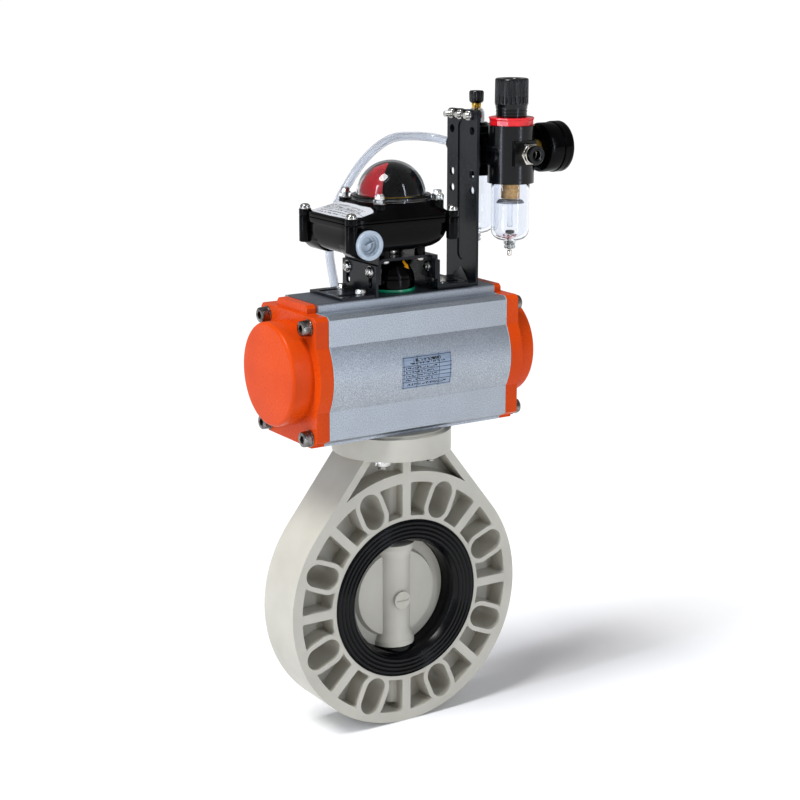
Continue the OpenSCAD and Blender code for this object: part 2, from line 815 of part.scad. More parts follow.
module regulator_knob() {
  color(black) difference() {
    union() {
      rod_z(unit_x, -unit_y, 13.3, 413.6, 425);
      turned(unit_x, -unit_y) translate([0, 869.1]) mirror([0, 1]) cup_half(14.35, 423.3, 445.8, 1.5);
      for (k = [0:23]) rotate_about(unit_x, -unit_y, k * 15) {
        rod_z(unit_x + 14.1, -unit_y, 0.7, 425, 443.5, 16);
      }
    }
    rod_z(unit_x, -unit_y, 12.5, 413, 424);
    rod_z(unit_x, -unit_y, 4.05, 420, 442);
  }
}

module rotate_about(x, y, a) {
  translate([x, y, 0]) rotate([0, 0, a]) translate([-x, -y, 0]) children();
}

module lock_ring() {
  color("#e01f26") difference() {
    translate([unit_x, -unit_y, 406.5]) rotate([0, 0, 15]) cylinder(r = 18.8, h = 6.8, $fn = 12);
    rod_z(unit_x, -unit_y, 12.5, 400, 420);
  }
}

// Clear bowl with a drain nipple, about the line (x, y).
module bowl(x, y, z1) {
  difference() {
    union() {
      turned(x, y) cup_half(bowl_r, bowl_z0, z1, 9);
      rod_z(x, y, 5, 300.5, bowl_z0 + 1);
    }
    turned(x, y) cup_half(bowl_r - 2, bowl_z0 + 2.5, z1 + 1, 7);
    rod_z(x, y, 2.1, 300, 312);
  }
}

module filter_bowl() { color(clear, 0.35) bowl(unit_x, -unit_y, bowl_z1 + 5.9); }
module oil_bowl() { color(clear, 0.35) bowl(unit_x, unit_y, 365.9); }

module filter_element() {
  color(brass) rod_z(unit_x, -unit_y, 8, 344, bowl_z1 + 6);
  color("#e8e8e8") rod_z(unit_x, -unit_y, 11.5, 341, 342.5);
  color("#e8e8e8") rod_z(unit_x, -unit_y, 2.5, 341.5, 345);
}

module drain_pin() {
  color(steel) {
    rod_z(unit_x, -unit_y, 2, 294, 314);
    rod_z(unit_x, -unit_y, 4, 314, 316);
  }
}

gauge_x0 = unit_x + 28;
gauge_x1 = unit_x + 52;

module gauge_case() {
  color(black) difference() {
    union() {
      rod_x(-unit_y, gauge_z, 21.2, gauge_x0, gauge_x1 - 1);
      rod_x(-unit_y, gauge_z, 22, gauge_x1 - 9, gauge_x1);
    }
    rod_x(-unit_y, gauge_z, 19.5, gauge_x1 - 6, gauge_x1 + 1);
  }
}

module gauge_lens() {
  color(clear, 0.35) rod_x(-unit_y, gauge_z, 19.4, gauge_x1 - 2.5, gauge_x1 - 0.8);
}

module gauge_pointer() {
  color("#c8141e") {
    rod_x(-unit_y, gauge_z, 2, gauge_x1 - 5.2, gauge_x1 - 3.4);
    translate([gauge_x1 - 4.9, -unit_y, gauge_z]) rotate([135, 0, 0]) block([0, -0.6, -5], [0.8, 0.6, 14]);
  }
}

module lubricator_body() {
  color(black) difference() {
    union() {
      module_casting(1, 360, 403, 19.5);
      rod_z(unit_x, unit_y, 10, 402, 405);
    }
    rod_y(unit_x, port_z, 6.55, face_y - 10, face_y + 1);
    rod_z(unit_x, unit_y, 16.6, 359, 366);
    rod_z(unit_x, unit_y, 7.55, 400, 406);
  }
}

module sight_dome() {
  color(clear, 0.4) difference() {
    rod_z(unit_x, unit_y, 7.5, 400.1, 417);
    rod_z(unit_x, unit_y, 5.5, 399, 414);
    rod_z(unit_x, unit_y, 2.05, 410, 418);
  }
}

module oil_knob() {
  color(black) {
    rod_z(unit_x, unit_y, 6.5, 421.6, 432.3);
    rod_z(unit_x, unit_y, 2, 405, 422);
  }
  color(brass) rod_z(unit_x, unit_y, 4.2, 417.3, 421.6);
}

// Push-in fitting pointing to +Z from the origin, with or without its release collar.
module push_fitting(collar) {
  difference() {
    union() {
      translate([0, 0, -9]) cylinder(r = 6.5, h = 9.5);
      hexagon(17, 8);
      cylinder(r = 7.9, h = 11);
    }
    translate([0, 0, -10]) cylinder(r = 3, h = 12);
    translate([0, 0, -0.5]) cylinder(r = tube_r + 0.05, h = 12);
    translate([0, 0, 8]) cylinder(r = 5.05, h = 4);
  }
  if (collar) translate([0, 0, 8.3]) release_collar();
}

module release_collar() {
  difference() {
    union() {
      cylinder(r = 5, h = 4);
      translate([0, 0, 4]) cylinder(r = 7.9, h = 2.2);
    }
    translate([0, 0, -1]) cylinder(r = tube_r + 0.05, h = 9);
  }
}

module air_fittings() {
  color(steel) {
    translate([unit_x, -face_y, port_z]) rotate([90, 0, 0]) push_fitting(false);
    translate([unit_x, face_y, port_z]) rotate([-90, 0, 0]) push_fitting(true);
    translate([drop[0], drop[1], pilot_z1]) push_fitting(true);
  }
  color(brass) {
    rod_x(-unit_y, gauge_z, 5, unit_x + 15, unit_x + 25);
    translate([unit_x + 20.6, -unit_y, gauge_z]) rotate([0, 90, 0]) hexagon(13, 7.4);
    for (s = [-1, 1]) {
      rod_z(s * 16, drop[1], 5, pilot_z0 - 2, pilot_z0 + 8);
      rod_z(s * 16, drop[1], 6.5, pilot_z0 - 16, pilot_z0 - 1);
    }
  }
}

module inlet_collar() {
  color(black) translate([unit_x, -face_y, port_z]) rotate([90, 0, 0]) translate([0, 0, 9.8]) release_collar();
}

// Route of the air tube: out of the outlet, over in a wide arc and down behind the actuator.
route = [[105, 44, 384], [105, 52, 384], [105, 62, 384], [104, 74, 385], [98, 87, 387], [84, 97, 388],
  [66, 100, 387], [47, 97, 380], [28, 92, 368], [11, 87, 352], [-3, 84, 334], [-12, 81, 312],
  [-15, 77, 290], [-14, 72, 268], [-14, 69, 252], [-14, 69, 244], [-14, 69, 236], [-14, 69, 228]];
steps = 4;
sides = 10;
function spline(a, b, c, d, t) = 0.5 * ((2 * b) + (c - a) * t + (2 * a - 5 * b + 4 * c - d) * t * t
  + (3 * b - a - 3 * c + d) * t * t * t);
mid = [for (i = [1:len(route) - 3], k = [0:steps - 1])
  spline(route[i - 1], route[i], route[i + 1], route[i + 2], k / steps)];
line = concat(mid, [route[len(route) - 2]]);
function unit(v) = v / norm(v);
function dir(i) = unit(line[min(i + 1, len(line) - 1)] - line[max(i - 1, 0)]);
function side(i) = unit(cross(dir(i), [1, 1, -1]));
function ring_at(i) = [for (k = [0:sides - 1]) let (a = k * 360 / sides)
  line[i] + tube_r * (cos(a) * side(i) + sin(a) * cross(dir(i), side(i)))];

module air_tube() {
  n = len(line);
  walls = [for (i = [0:n - 2], k = [0:sides - 1]) let (m = (k + 1) % sides)
    [i * sides + k, i * sides + m, (i + 1) * sides + m, (i + 1) * sides + k]];
  ends = [[for (k = [sides - 1:-1:0]) k], [for (k = [0:sides - 1]) (n - 1) * sides + k]];
  color(clear, 0.4) polyhedron([for (i = [0:n - 1]) each ring_at(i)], concat(walls, ends));
}

module pilot_valve() {
  color(alloy) difference() {
    block([-35, pilot_y0, pilot_z0], [35, pilot_y1, pilot_z1]);
    rod_z(drop[0], drop[1], 6.55, pilot_z1 - 10, pilot_z1 + 1);
    for (s = [-1, 1]) {
      rod_z(s * 16, drop[1], 5.05, pilot_z0 - 1, pilot_z0 + 9);
      rod_y(s * 12, act_z, 4, 50, 62);
    }
    rod_x(drop[1], act_z, 3.05, -36, -28);
  }
}

module pilot_coil() {
  color("#232326") {
    rod_x(drop[1], act_z, 8, 35, 41);
    block([41, 56, 196], [67, 82, 226]);
    rod_x(drop[1], act_z, 6.5, 66, 72);
    block([44, 82, 200], [64, 100, 222]);
  }
}

module override_button() {
  color("#d8a21a") rod_x(drop[1], act_z, 3, -37.2, -31);
}

valve_body();
seat_liner();
disc();
disc_plug();
stem();
shaft_bushes();
stem_seals();
pad_bolts();
actuator_body();
end_cap_left();
end_cap_right();
cap_gaskets();
cap_screws();
nameplate();
piston_left();
piston_right();
piston_seal_left();
piston_seal_right();
pinion();
indicator_puck();
puck_arrow();
puck_ring();
foot_left();
foot_right();
bridge_bracket();
bracket_screws();
switch_base();
switch_cover();
box_screws();
switch_shaft();
switch_cams();
micro_switches();
indicator_mask();
indicator_red();
indicator_yellow();
indicator_dome();
conduit_plugs();
air_bracket();
module_clamp();
clamp_bolts();
regulator_body();
regulator_spindle();
regulator_knob();
lock_ring();
filter_bowl();
filter_element();
drain_pin();
gauge_case();
gauge_lens();
gauge_pointer();
lubricator_body();
oil_bowl();
sight_dome();
oil_knob();
air_fittings();
inlet_collar();
air_tube();
pilot_valve();
pilot_coil();
override_button();
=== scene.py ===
"""Looks of an air-actuated wafer butterfly valve: castings, fasteners, bowls, dome, tube and finishes.

The frame gives every place and size; lengths below are millimetres unless a name says otherwise.
"""

import json
import math

import bmesh
import bpy
import numpy as np
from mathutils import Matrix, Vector

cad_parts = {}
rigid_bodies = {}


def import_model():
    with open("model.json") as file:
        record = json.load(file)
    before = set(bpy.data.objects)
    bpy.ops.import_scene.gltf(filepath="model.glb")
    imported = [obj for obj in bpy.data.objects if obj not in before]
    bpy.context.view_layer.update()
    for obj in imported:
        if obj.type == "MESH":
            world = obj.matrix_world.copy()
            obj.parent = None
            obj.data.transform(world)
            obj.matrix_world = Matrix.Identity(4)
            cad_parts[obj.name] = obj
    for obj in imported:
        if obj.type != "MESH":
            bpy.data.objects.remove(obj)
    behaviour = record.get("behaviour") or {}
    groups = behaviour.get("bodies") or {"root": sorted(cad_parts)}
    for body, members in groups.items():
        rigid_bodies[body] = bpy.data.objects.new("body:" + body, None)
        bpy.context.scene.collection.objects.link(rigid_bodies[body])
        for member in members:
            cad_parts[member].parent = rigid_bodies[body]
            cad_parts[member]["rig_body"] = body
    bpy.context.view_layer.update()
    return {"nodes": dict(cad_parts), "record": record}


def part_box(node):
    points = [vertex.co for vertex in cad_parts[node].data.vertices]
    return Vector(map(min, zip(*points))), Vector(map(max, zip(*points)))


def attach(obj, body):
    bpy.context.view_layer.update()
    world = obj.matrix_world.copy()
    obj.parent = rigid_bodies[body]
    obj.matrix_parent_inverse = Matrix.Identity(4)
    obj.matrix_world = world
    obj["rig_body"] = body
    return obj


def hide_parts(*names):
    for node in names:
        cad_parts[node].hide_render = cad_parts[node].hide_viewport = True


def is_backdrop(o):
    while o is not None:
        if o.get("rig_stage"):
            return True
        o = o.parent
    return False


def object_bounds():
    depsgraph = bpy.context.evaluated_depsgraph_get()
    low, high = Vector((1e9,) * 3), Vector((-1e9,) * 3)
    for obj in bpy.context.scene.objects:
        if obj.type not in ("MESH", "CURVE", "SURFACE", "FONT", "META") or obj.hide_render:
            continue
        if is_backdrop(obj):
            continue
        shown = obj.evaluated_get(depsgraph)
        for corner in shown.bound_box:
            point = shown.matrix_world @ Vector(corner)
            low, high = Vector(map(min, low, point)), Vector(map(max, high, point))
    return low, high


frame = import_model()

bl_info = {
    "name": "Actuated butterfly valve",
    "version": (1, 0, 0),
    "blender": (4, 5, 0),
    "location": "3D View > Sidebar > Valve",
    "description": "Builds the shown pieces and finishes of an air-actuated wafer butterfly valve",
    "category": "Object",
}

MM = 0.001
TAU = 2 * math.pi
# Half angle of a corner, in radians, past which the run counts as straight.
STRAIGHT = 1.56
# Points closer than this, in metres, are one point.
WELD = 2e-6
# Each row says where local x, y or z goes when local z lies along the named axis.
AXES = {
    "x": np.array([[0, 1, 0], [0, 0, 1], [1, 0, 0]], float),
    "-x": np.array([[0, -1, 0], [0, 0, 1], [-1, 0, 0]], float),
    "y": np.array([[-1, 0, 0], [0, 0, 1], [0, 1, 0]], float),
    "-y": np.array([[1, 0, 0], [0, 0, 1], [0, -1, 0]], float),
    "z": np.eye(3),
    "-z": np.array([[-1, 0, 0], [0, 1, 0], [0, 0, -1]], float),
}


# ---------- surfaces ----------


def box_mm(node):
    """Lowest and highest corner of a CAD node in millimetres."""
    low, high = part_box(node)
    return np.array(low) / MM, np.array(high) / MM


def grid_faces(rows, columns, wrap_rows=False, wrap_columns=True):
    """Quads over a grid of points; either direction may close on itself."""
    i = np.arange(rows if wrap_rows else rows - 1)[:, None]
    j = np.arange(columns if wrap_columns else columns - 1)[None, :]
    below, right = (i + 1) % rows, (j + 1) % columns
    quads = [i * columns + j, below * columns + j, below * columns + right, i * columns + right]
    return np.stack([np.broadcast_to(q, (i.size, j.size)).ravel() for q in quads], 1).tolist()


def placed(points, axis="z", at=(0, 0, 0)):
    """Turns local x, y, z so that z lies along the named axis, then moves to a place."""
    return np.asarray(points, float).reshape(-1, 3) @ AXES[axis] + np.asarray(at, float)


def spun(points, angle, at=(0, 0)):
    """Turns points about the upright line through (x, y) by an angle in degrees."""
    a = math.radians(angle)
    turn = np.array([[math.cos(a), math.sin(a), 0], [-math.sin(a), math.cos(a), 0], [0, 0, 1]])
    shift = np.array([at[0], at[1], 0])
    return (points - shift) @ turn + shift


def tangent_arc(corner, one, other, radius, steps):
    """Arc of a radius that touches two unit directions leaving a corner, from the first to the second."""
    half = math.acos(float(np.clip(one @ other, -1, 1))) / 2
    reach = radius / math.tan(half)
    centre = corner + (one + other) / np.linalg.norm(one + other) * radius / math.sin(half)
    start, stop = corner + one * reach - centre, corner + other * reach - centre
    sweep = math.pi - 2 * half
    t = np.linspace(0, 1, steps + 1)[:, None]
    return centre + (np.sin((1 - t) * sweep) * start + np.sin(t * sweep) * stop) / math.sin(sweep)


def fillet(points, radii, steps=5, closed=False):
    """A path of straight runs with each corner swapped for a tangent arc of the given radius."""
    points = np.asarray(points, float)
    radii = np.broadcast_to(radii, len(points))
    out = []
    for n, (corner, r) in enumerate(zip(points, radii)):
        before, after = points[n - 1] - corner, points[(n + 1) % len(points)] - corner
        la, lb = np.linalg.norm(before), np.linalg.norm(after)
        before, after = before / la, after / lb
        half = math.acos(float(np.clip(before @ after, -1, 1))) / 2
        end = not closed and n in (0, len(points) - 1)
        if end or r <= 0 or half > STRAIGHT:
            out.append(corner[None])
            continue
        reach = min(r / math.tan(half), 0.49 * la, 0.49 * lb)
        out.append(tangent_arc(corner, before, after, reach * math.tan(half), steps))
    return np.concatenate(out)


def revolve(profile, axis="z", at=(0, 0, 0), steps=64, wave=None):
    """A closed (radius, height) outline turned about an axis; wave(angle, height) may scale the radius."""
    profile = np.asarray(profile, float)
    angle = np.arange(steps) * TAU / steps
    r = profile[:, :1] * np.ones(steps)
    z = profile[:, 1:] * np.ones(steps)
    if wave is not None:
        r = r * wave(angle[None, :], z)
    points = np.stack([r * np.cos(angle), r * np.sin(angle), z], 2)
    return placed(points, axis, at), grid_faces(len(profile), steps, wrap_rows=True)


def turned(profile, radius=0.4, **where):
    """Revolves an outline given from the axis out and back to the axis, with its corners rounded."""
    return revolve(fillet(profile, radius, 3), **where)


def outward(outline):
    """Unit normals of a closed counter-clockwise outline."""
    ahead = np.roll(outline, -1, 0) - outline
    ahead /= np.linalg.norm(ahead, axis=1)[:, None] + 1e-12
    behind = np.roll(ahead, 1, 0)
    normal = np.stack([ahead[:, 1] + behind[:, 1], -ahead[:, 0] - behind[:, 0]], 1)
    length = np.linalg.norm(normal, axis=1)[:, None]
    return normal / length * np.minimum(2 / length, 1.6)


def prism(outline, z0, z1, edge=0.5, steps=3, axis="z", at=(0, 0, 0)):
    """A closed outline raised from z0 to z1, both rims rounded by quarter arcs of the edge radius."""
    outline = np.asarray(outline, float)
    t = np.linspace(0, math.pi / 2, steps + 1)
    inset = edge * (1 - np.sin(t))
    rise = edge * (1 - np.cos(t))
    levels = [(i, z0 + h) for i, h in zip(inset, rise)]
    levels += [(i, z1 - h) for i, h in zip(inset[::-1], rise[::-1])]
    normal = outward(outline)
    rings = [np.c_[outline - normal * i, np.full(len(outline), h)] for i, h in levels]
    faces = grid_faces(len(levels), len(outline))
    last = (len(levels) - 1) * len(outline)
    faces.append(list(range(len(outline)))[::-1])
    faces.append(list(range(last, last + len(outline))))
    return placed(np.concatenate(rings), axis, at), faces


def loft(rings, closed_ends=True):
    """Rings of equal point counts joined in order, with flat ends."""
    rings = np.asarray(rings, float)
    count = rings.shape[1]
    faces = grid_faces(len(rings), count)
    if closed_ends:
        last = (len(rings) - 1) * count
        faces += [list(range(count))[::-1], list(range(last, last + count))]
    return rings.reshape(-1, 3), faces


def rectangle(width, height, corner, steps=6, centre=(0, 0)):
    """Outline of a rectangle with round corners."""
    w, h = width / 2, height / 2
    corners = [(-w, -h), (w, -h), (w, h), (-w, h)]
    return fillet(corners, corner, steps, closed=True) + np.asarray(centre, float)


def divided(outline, longest):
    """A closed outline with extra points, so that no side is longer than a limit."""
    runs = []
    for start, end in zip(outline, np.roll(outline, -1, 0)):
        count = max(1, math.ceil(np.linalg.norm(end - start) / longest))
        runs.append(start + (end - start) * np.arange(count)[:, None] / count)
    return np.concatenate(runs)


def superellipse(width, depth, power, steps=96):
    """Outline whose power-th powers of x and y add up to one: 2 is an ellipse, 6 nearly a rectangle."""
    a = np.arange(steps) * TAU / steps
    c, s = np.cos(a), np.sin(a)
    k = (np.abs(c) ** power + np.abs(s) ** power) ** (-1 / power)
    return np.stack([width / 2 * c * k, depth / 2 * s * k], 1)


def swept(path, radius_at, sides=20):
    """Rings round a path, each square to it; radius_at is one radius or one for each point."""
    path = np.asarray(path, float)
    ahead = np.gradient(path, axis=0)
    ahead /= np.linalg.norm(ahead, axis=1)[:, None]
    side = np.cross(ahead, [1.0, 1.0, -1.0])
    side /= np.linalg.norm(side, axis=1)[:, None]
    up = np.cross(ahead, side)
    a = (np.arange(sides) * TAU / sides)[None, :, None]
    r = np.broadcast_to(radius_at, len(path))[:, None, None]
    return path[:, None] + r * (np.cos(a) * side[:, None] + np.sin(a) * up[:, None])


def build(name, parts, body, material, nodes=(), slot=None, smooth=35):
    """Joins parts into one closed mesh in metres, turns its faces outwards and puts it on its body."""
    points, faces, count = [], [], 0
    for part_points, part_faces in parts:
        points.append(np.asarray(part_points, float))
        faces += [[i + count for i in face] for face in part_faces]
        count += len(part_points)
    mesh = bpy.data.meshes.new(name)
    mesh.from_pydata((np.concatenate(points) * MM).tolist(), [], faces)
    work = bmesh.new()
    work.from_mesh(mesh)
    bmesh.ops.remove_doubles(work, verts=work.verts, dist=WELD)
    bmesh.ops.recalc_face_normals(work, faces=work.faces)
    work.to_mesh(mesh)
    work.free()
    piece = bpy.data.objects.new(name, mesh)
    bpy.context.scene.collection.objects.link(piece)
    return finish_piece(piece, body, material, nodes, slot, smooth)


def finish_piece(piece, body, material, nodes=(), slot=None, smooth=35):
    """Shades a piece smooth up to an angle, gives it its finish, ties it to its body and hides the CAD nodes
    it stands for.
    """
    piece.data.shade_smooth()
    sharpen(piece.data, smooth)
    piece.data.materials.append(material)
    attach(piece, body)
    if nodes:
        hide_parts(*nodes)
        slots = {s["node"]: s["material_slot"] for s in frame["record"]["subparts"]}
        slot = slot or slots[nodes[0]]
    return piece


def sharpen(mesh, angle):
    """Marks edges sharper than an angle, so that smooth shading stops there."""
    work = bmesh.new()
    work.from_mesh(mesh)
    limit = math.radians(angle)
    for edge in work.edges:
        edge.smooth = not (len(edge.link_faces) == 2 and edge.calc_face_angle(0) > limit)
    work.to_mesh(mesh)
    work.free()


# Faces of a CAD mesh that meet within this angle are merged into one.
FLAT_LIMIT = math.radians(0.6)


def rounded_copy(node, width, material, segments=2, angle=25):
    """A merged copy of a CAD node whose edges are rounded by a bevel of the given width."""
    source = frame["nodes"][node]
    mesh = source.data.copy()
    work = bmesh.new()
    work.from_mesh(mesh)
    bmesh.ops.remove_doubles(work, verts=work.verts, dist=WELD)
    bmesh.ops.dissolve_degenerate(work, dist=1e-6, edges=work.edges)
    bmesh.ops.dissolve_limit(work, angle_limit=FLAT_LIMIT, verts=work.verts, edges=work.edges)
    for face in work.faces:
        face.smooth = True
        face.material_index = 0
    work.to_mesh(mesh)
    work.free()
    mesh.materials.clear()
    if "custom_normal" in mesh.attributes:
        mesh.attributes.remove(mesh.attributes["custom_normal"])
    piece = bpy.data.objects.new(node + "_skin", mesh)
    bpy.context.scene.collection.objects.link(piece)
    bevel = piece.modifiers.new("Rounded edges", "BEVEL")
    bevel.width = width * MM
    bevel.segments = segments
    bevel.limit_method = "ANGLE"
    bevel.angle_limit = math.radians(angle)
    bevel.harden_normals = True
    bevel.use_clamp_overlap = True
    return finish_piece(piece, source["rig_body"], material, (node,))


# ---------- finishes ----------


def linear(code):
    """Linear colour from an sRGB hex code."""
    values = [int(code[i : i + 2], 16) / 255 for i in (1, 3, 5)]
    return [v / 12.92 if v <= 0.04045 else ((v + 0.055) / 1.055) ** 2.4 for v in values]


def colour(value):
    """A four-value colour from an sRGB hex code or from linear red, green and blue."""
    return (*(linear(value) if isinstance(value, str) else value), 1.0)


def add(tree, kind, inputs=None, **settings):
    """Adds one node, sets its properties, and sets or links its inputs."""
    node = tree.nodes.new(kind)
    for key, value in settings.items():
        setattr(node, key, value)
    for key, value in (inputs or {}).items():
        if isinstance(value, bpy.types.NodeSocket):
            tree.links.new(value, node.inputs[key])
        else:
            node.inputs[key].default_value = value
    return node


def shader(name, **constants):
    """A new material with a principled shader whose constant sockets are set directly."""
    material = bpy.data.materials.new(name)
    material.use_nodes = True
    tree = material.node_tree
    tree.nodes.clear()
    principled = add(tree, "ShaderNodeBsdfPrincipled", {k.replace("_", " "): v for k, v in constants.items()})
    add(tree, "ShaderNodeOutputMaterial", {"Surface": principled.outputs[0]})
    return material, tree, principled


def per_mm(size):
    """Noise scale on Object coordinates (metres) for a feature of the given size in millimetres."""
    return 1 / (size * MM)


def noise(tree, place, size, detail=2.0, rough=0.5):
    """Noise with features of a size in millimetres."""
    inputs = {"Vector": place, "Scale": per_mm(size), "Detail": detail, "Roughness": rough}
    return add(tree, "ShaderNodeTexNoise", inputs).outputs["Fac"]


def spread(tree, value, low, high, a, b):
    """Maps a value from one range to another, kept inside it."""
    inputs = {"Value": value, "From Min": low, "From Max": high, "To Min": a, "To Max": b}
    return add(tree, "ShaderNodeMapRange", inputs).outputs["Result"]


def blend_colours(tree, factor, a, b, mode="MIX"):
    """Mixes two colours by a factor."""
    inputs = {0: factor, 6: a, 7: b}
    return add(tree, "ShaderNodeMix", inputs, data_type="RGBA", blend_type=mode).outputs[2]


def bumped(tree, principled, height, depth):
    """Fine relief: the height pattern tilts the surface as if it were a stated depth in millimetres."""
    bump = add(tree, "ShaderNodeBump", {"Height": height, "Distance": depth * MM, "Strength": 1.0})
    tree.links.new(bump.outputs["Normal"], principled.inputs["Normal"])


def surfaced(
    name, code, dark, rough, metal=0.0, cloud=14.0, grain=0.5, depth=0.02, stretch=None, swing=0.06, **more
):
    """A solid finish: clouds of a darker shade, roughness that varies, and a fine bump; sizes are in mm."""
    constants = {"Metallic": metal}
    constants.update(more)
    material, tree, principled = shader(name, **constants)
    place = add(tree, "ShaderNodeTexCoord").outputs["Object"]
    fine_place = place
    if stretch:
        fine_place = add(tree, "ShaderNodeMapping", {"Vector": place, "Scale": stretch}).outputs["Vector"]
    clouds = noise(tree, place, cloud, 4.0)
    fine = noise(tree, fine_place, grain, 2.0)
    shade = blend_colours(tree, spread(tree, clouds, 0.35, 0.7, 0.0, 1.0), colour(code), colour(dark))
    tree.links.new(shade, principled.inputs["Base Color"])
    mixed = add(tree, "ShaderNodeMath", {0: clouds, 1: fine}, operation="MULTIPLY").outputs[0]
    roughness = spread(tree, mixed, 0.12, 0.4, rough - swing, rough + swing)
    tree.links.new(roughness, principled.inputs["Roughness"])
    bumped(tree, principled, fine, depth)
    return material


def moulded_polypropylene():
    """Beige glass-filled polypropylene, injection moulded: satin, with faint flow clouds and fine grain."""
    return surfaced(
        "Moulded polypropylene", looks().body_plastic, "#b1aea3", 0.42, cloud=38, grain=0.9, depth=0.03,
        IOR=1.49, Specular_IOR_Level=0.42,
    )


def epdm_rubber():
    """Black EPDM seat, compression moulded: deep black with a soft sheen and slight mould bloom."""
    return surfaced(
        "Moulded EPDM rubber", "#040506", "#08090b", 0.2, cloud=9, grain=0.7, depth=0.015,
        IOR=1.5, Specular_IOR_Level=0.16,
    )


def blasted_aluminium():
    """Bead-blasted, clear-anodised aluminium: sparkling grey grains; the top face is darker, with fine lines
    along its length.
    """
    material, tree, principled = shader("Bead-blasted anodised aluminium", Metallic=0.85)
    place = add(tree, "ShaderNodeTexCoord").outputs["Object"]
    grains = noise(tree, place, 0.8, 1.0, 0.7)
    clouds = noise(tree, place, 30.0, 3.0)
    specks = spread(tree, grains, 0.3, 0.72, 0.0, 1.0)
    sparkle = blend_colours(tree, specks, colour("#80868d"), colour("#b9bfc7"))
    toned = blend_colours(tree, spread(tree, clouds, 0.3, 0.7, 0.0, 0.35), sparkle, colour("#8f959b"))
    # The top face, within 0.35 mm of the body's top, turns darker and streaked along its length.
    height = add(tree, "ShaderNodeSeparateXYZ", {"Vector": place}).outputs["Z"]
    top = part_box("actuator_body")[1].z
    land = spread(tree, height, top - 0.35 * MM, top - 0.1 * MM, 0.0, 1.0)
    streaks = add(tree, "ShaderNodeMapping", {"Vector": place, "Scale": (0.04, 1.0, 1.0)}).outputs["Vector"]
    lines = spread(tree, noise(tree, streaks, 0.8, 3.0), 0.3, 0.7, 0.0, 1.0)
    dark = blend_colours(tree, lines, colour("#5f656d"), colour("#848b94"))
    tree.links.new(blend_colours(tree, land, toned, dark), principled.inputs["Base Color"])
    tree.links.new(spread(tree, grains, 0.3, 0.7, 0.5, 0.34), principled.inputs["Roughness"])
    bumped(tree, principled, grains, 0.03)
    return material


def orange_powder():
    """Orange polyester powder coat on a die casting: glossy, with a soft ripple about 2 mm wide."""
    return surfaced(
        "Orange powder coat", looks().cap_paint, "#c03c08", 0.3, cloud=45, grain=2.2, depth=0.05,
        IOR=1.45, Specular_IOR_Level=0.12,
    )


def black_lacquer():
    """Black baked lacquer on die-cast aluminium: near black, glossy, uneven from the casting skin."""
    return surfaced(
        "Baked black lacquer", "#020203", "#050506", 0.14, cloud=12, grain=1.4, depth=0.03,
        IOR=1.45, Specular_IOR_Level=0.09,
    )


def black_powder():
    """Black powder-coated sheet steel: satin with a fine even tooth."""
    return surfaced(
        "Black powder coat", "#101318", "#171b21", 0.26, cloud=20, grain=0.7, depth=0.03,
        IOR=1.5, Specular_IOR_Level=0.2,
    )


def black_nylon():
    """Black nylon, injection moulded: satin black with dull grip faces."""
    return surfaced(
        "Moulded black nylon", "#050608", "#090b0e", 0.19, cloud=8, grain=0.5, depth=0.015,
        IOR=1.5, Specular_IOR_Level=0.3,
    )


def cast_black():
    """Black paint over zinc die casting on the air unit: satin, faint sand-cast tooth."""
    return surfaced(
        "Painted zinc casting", "#040507", "#07090b", 0.19, cloud=10, grain=1.0, depth=0.05,
        IOR=1.5, Specular_IOR_Level=0.28,
    )


def stainless_steel():
    """Turned stainless steel fasteners: bright, with fine lathe marks."""
    return surfaced("Turned stainless steel", "#c9c8c4", "#9c9b98", 0.2, 1.0, cloud=5, grain=0.35, depth=0.01)


def zinc_steel():
    """Zinc-plated cap screws: grey metal, slightly duller than stainless."""
    return surfaced("Zinc-plated steel", "#8f8d89", "#4b4947", 0.24, 1.0, cloud=4, grain=0.5, depth=0.02)


def nickel_brass():
    """Nickel-plated brass fittings: warm bright silver."""
    return surfaced("Nickel-plated brass", "#d3cfc8", "#aaa59c", 0.16, 1.0, cloud=5, grain=0.6, depth=0.008)


def turned_brass():
    """Turned brass: yellow metal with fine rings."""
    return surfaced("Turned brass", "#e3bd58", "#c39a3c", 0.28, 0.8, cloud=5, grain=0.4, depth=0.012)


def sintered_bronze():
    """Sintered bronze filter: porous, matt and golden."""
    return surfaced("Sintered bronze", "#dcab60", "#a87a3a", 0.45, 0.6, cloud=1.6, grain=0.6, depth=0.2)


def machined_alloy():
    """Machined aluminium of the pistons and the pilot valve: even grey with tool lines."""
    return surfaced(
        "Machined aluminium", "#abadaf", "#9b9d9f", 0.34, 0.9, cloud=12, grain=0.5, depth=0.02,
        stretch=(0.08, 1, 1),
    )


def gear_steel():
    """Hobbed steel of the pinion, phosphated: dark grey metal."""
    return surfaced("Hobbed steel", "#7a7b7d", "#56575a", 0.38, 1.0, cloud=6, grain=0.5, depth=0.02)


def acetal():
    """Natural acetal bushes: creamy white and waxy."""
    return surfaced("Natural acetal", "#dcd7c8", "#cfc8b4", 0.4, cloud=10, grain=0.6, depth=0.01)


def gloss_plastic(name, code, dark):
    """Coloured ABS, moulded with a polished tool: clean colour and a clear gloss."""
    return surfaced(name, code, dark, 0.22, cloud=10, grain=1.2, depth=0.01, IOR=1.53)


def black_mask():
    """Black polystyrene mask inside the dome: deep black, low sheen."""
    return surfaced(
        "Black moulded mask", "#020203", "#050506", 0.3, cloud=10, grain=1.2, depth=0.01,
        Specular_IOR_Level=0.05,
    )


def gasket_rubber():
    """Pale cyan pressed-fibre gasket: matt with fine fibres."""
    return surfaced("Pressed-fibre gasket", "#8fd0d8", "#6fb4be", 0.7, cloud=3, grain=0.4, depth=0.04)


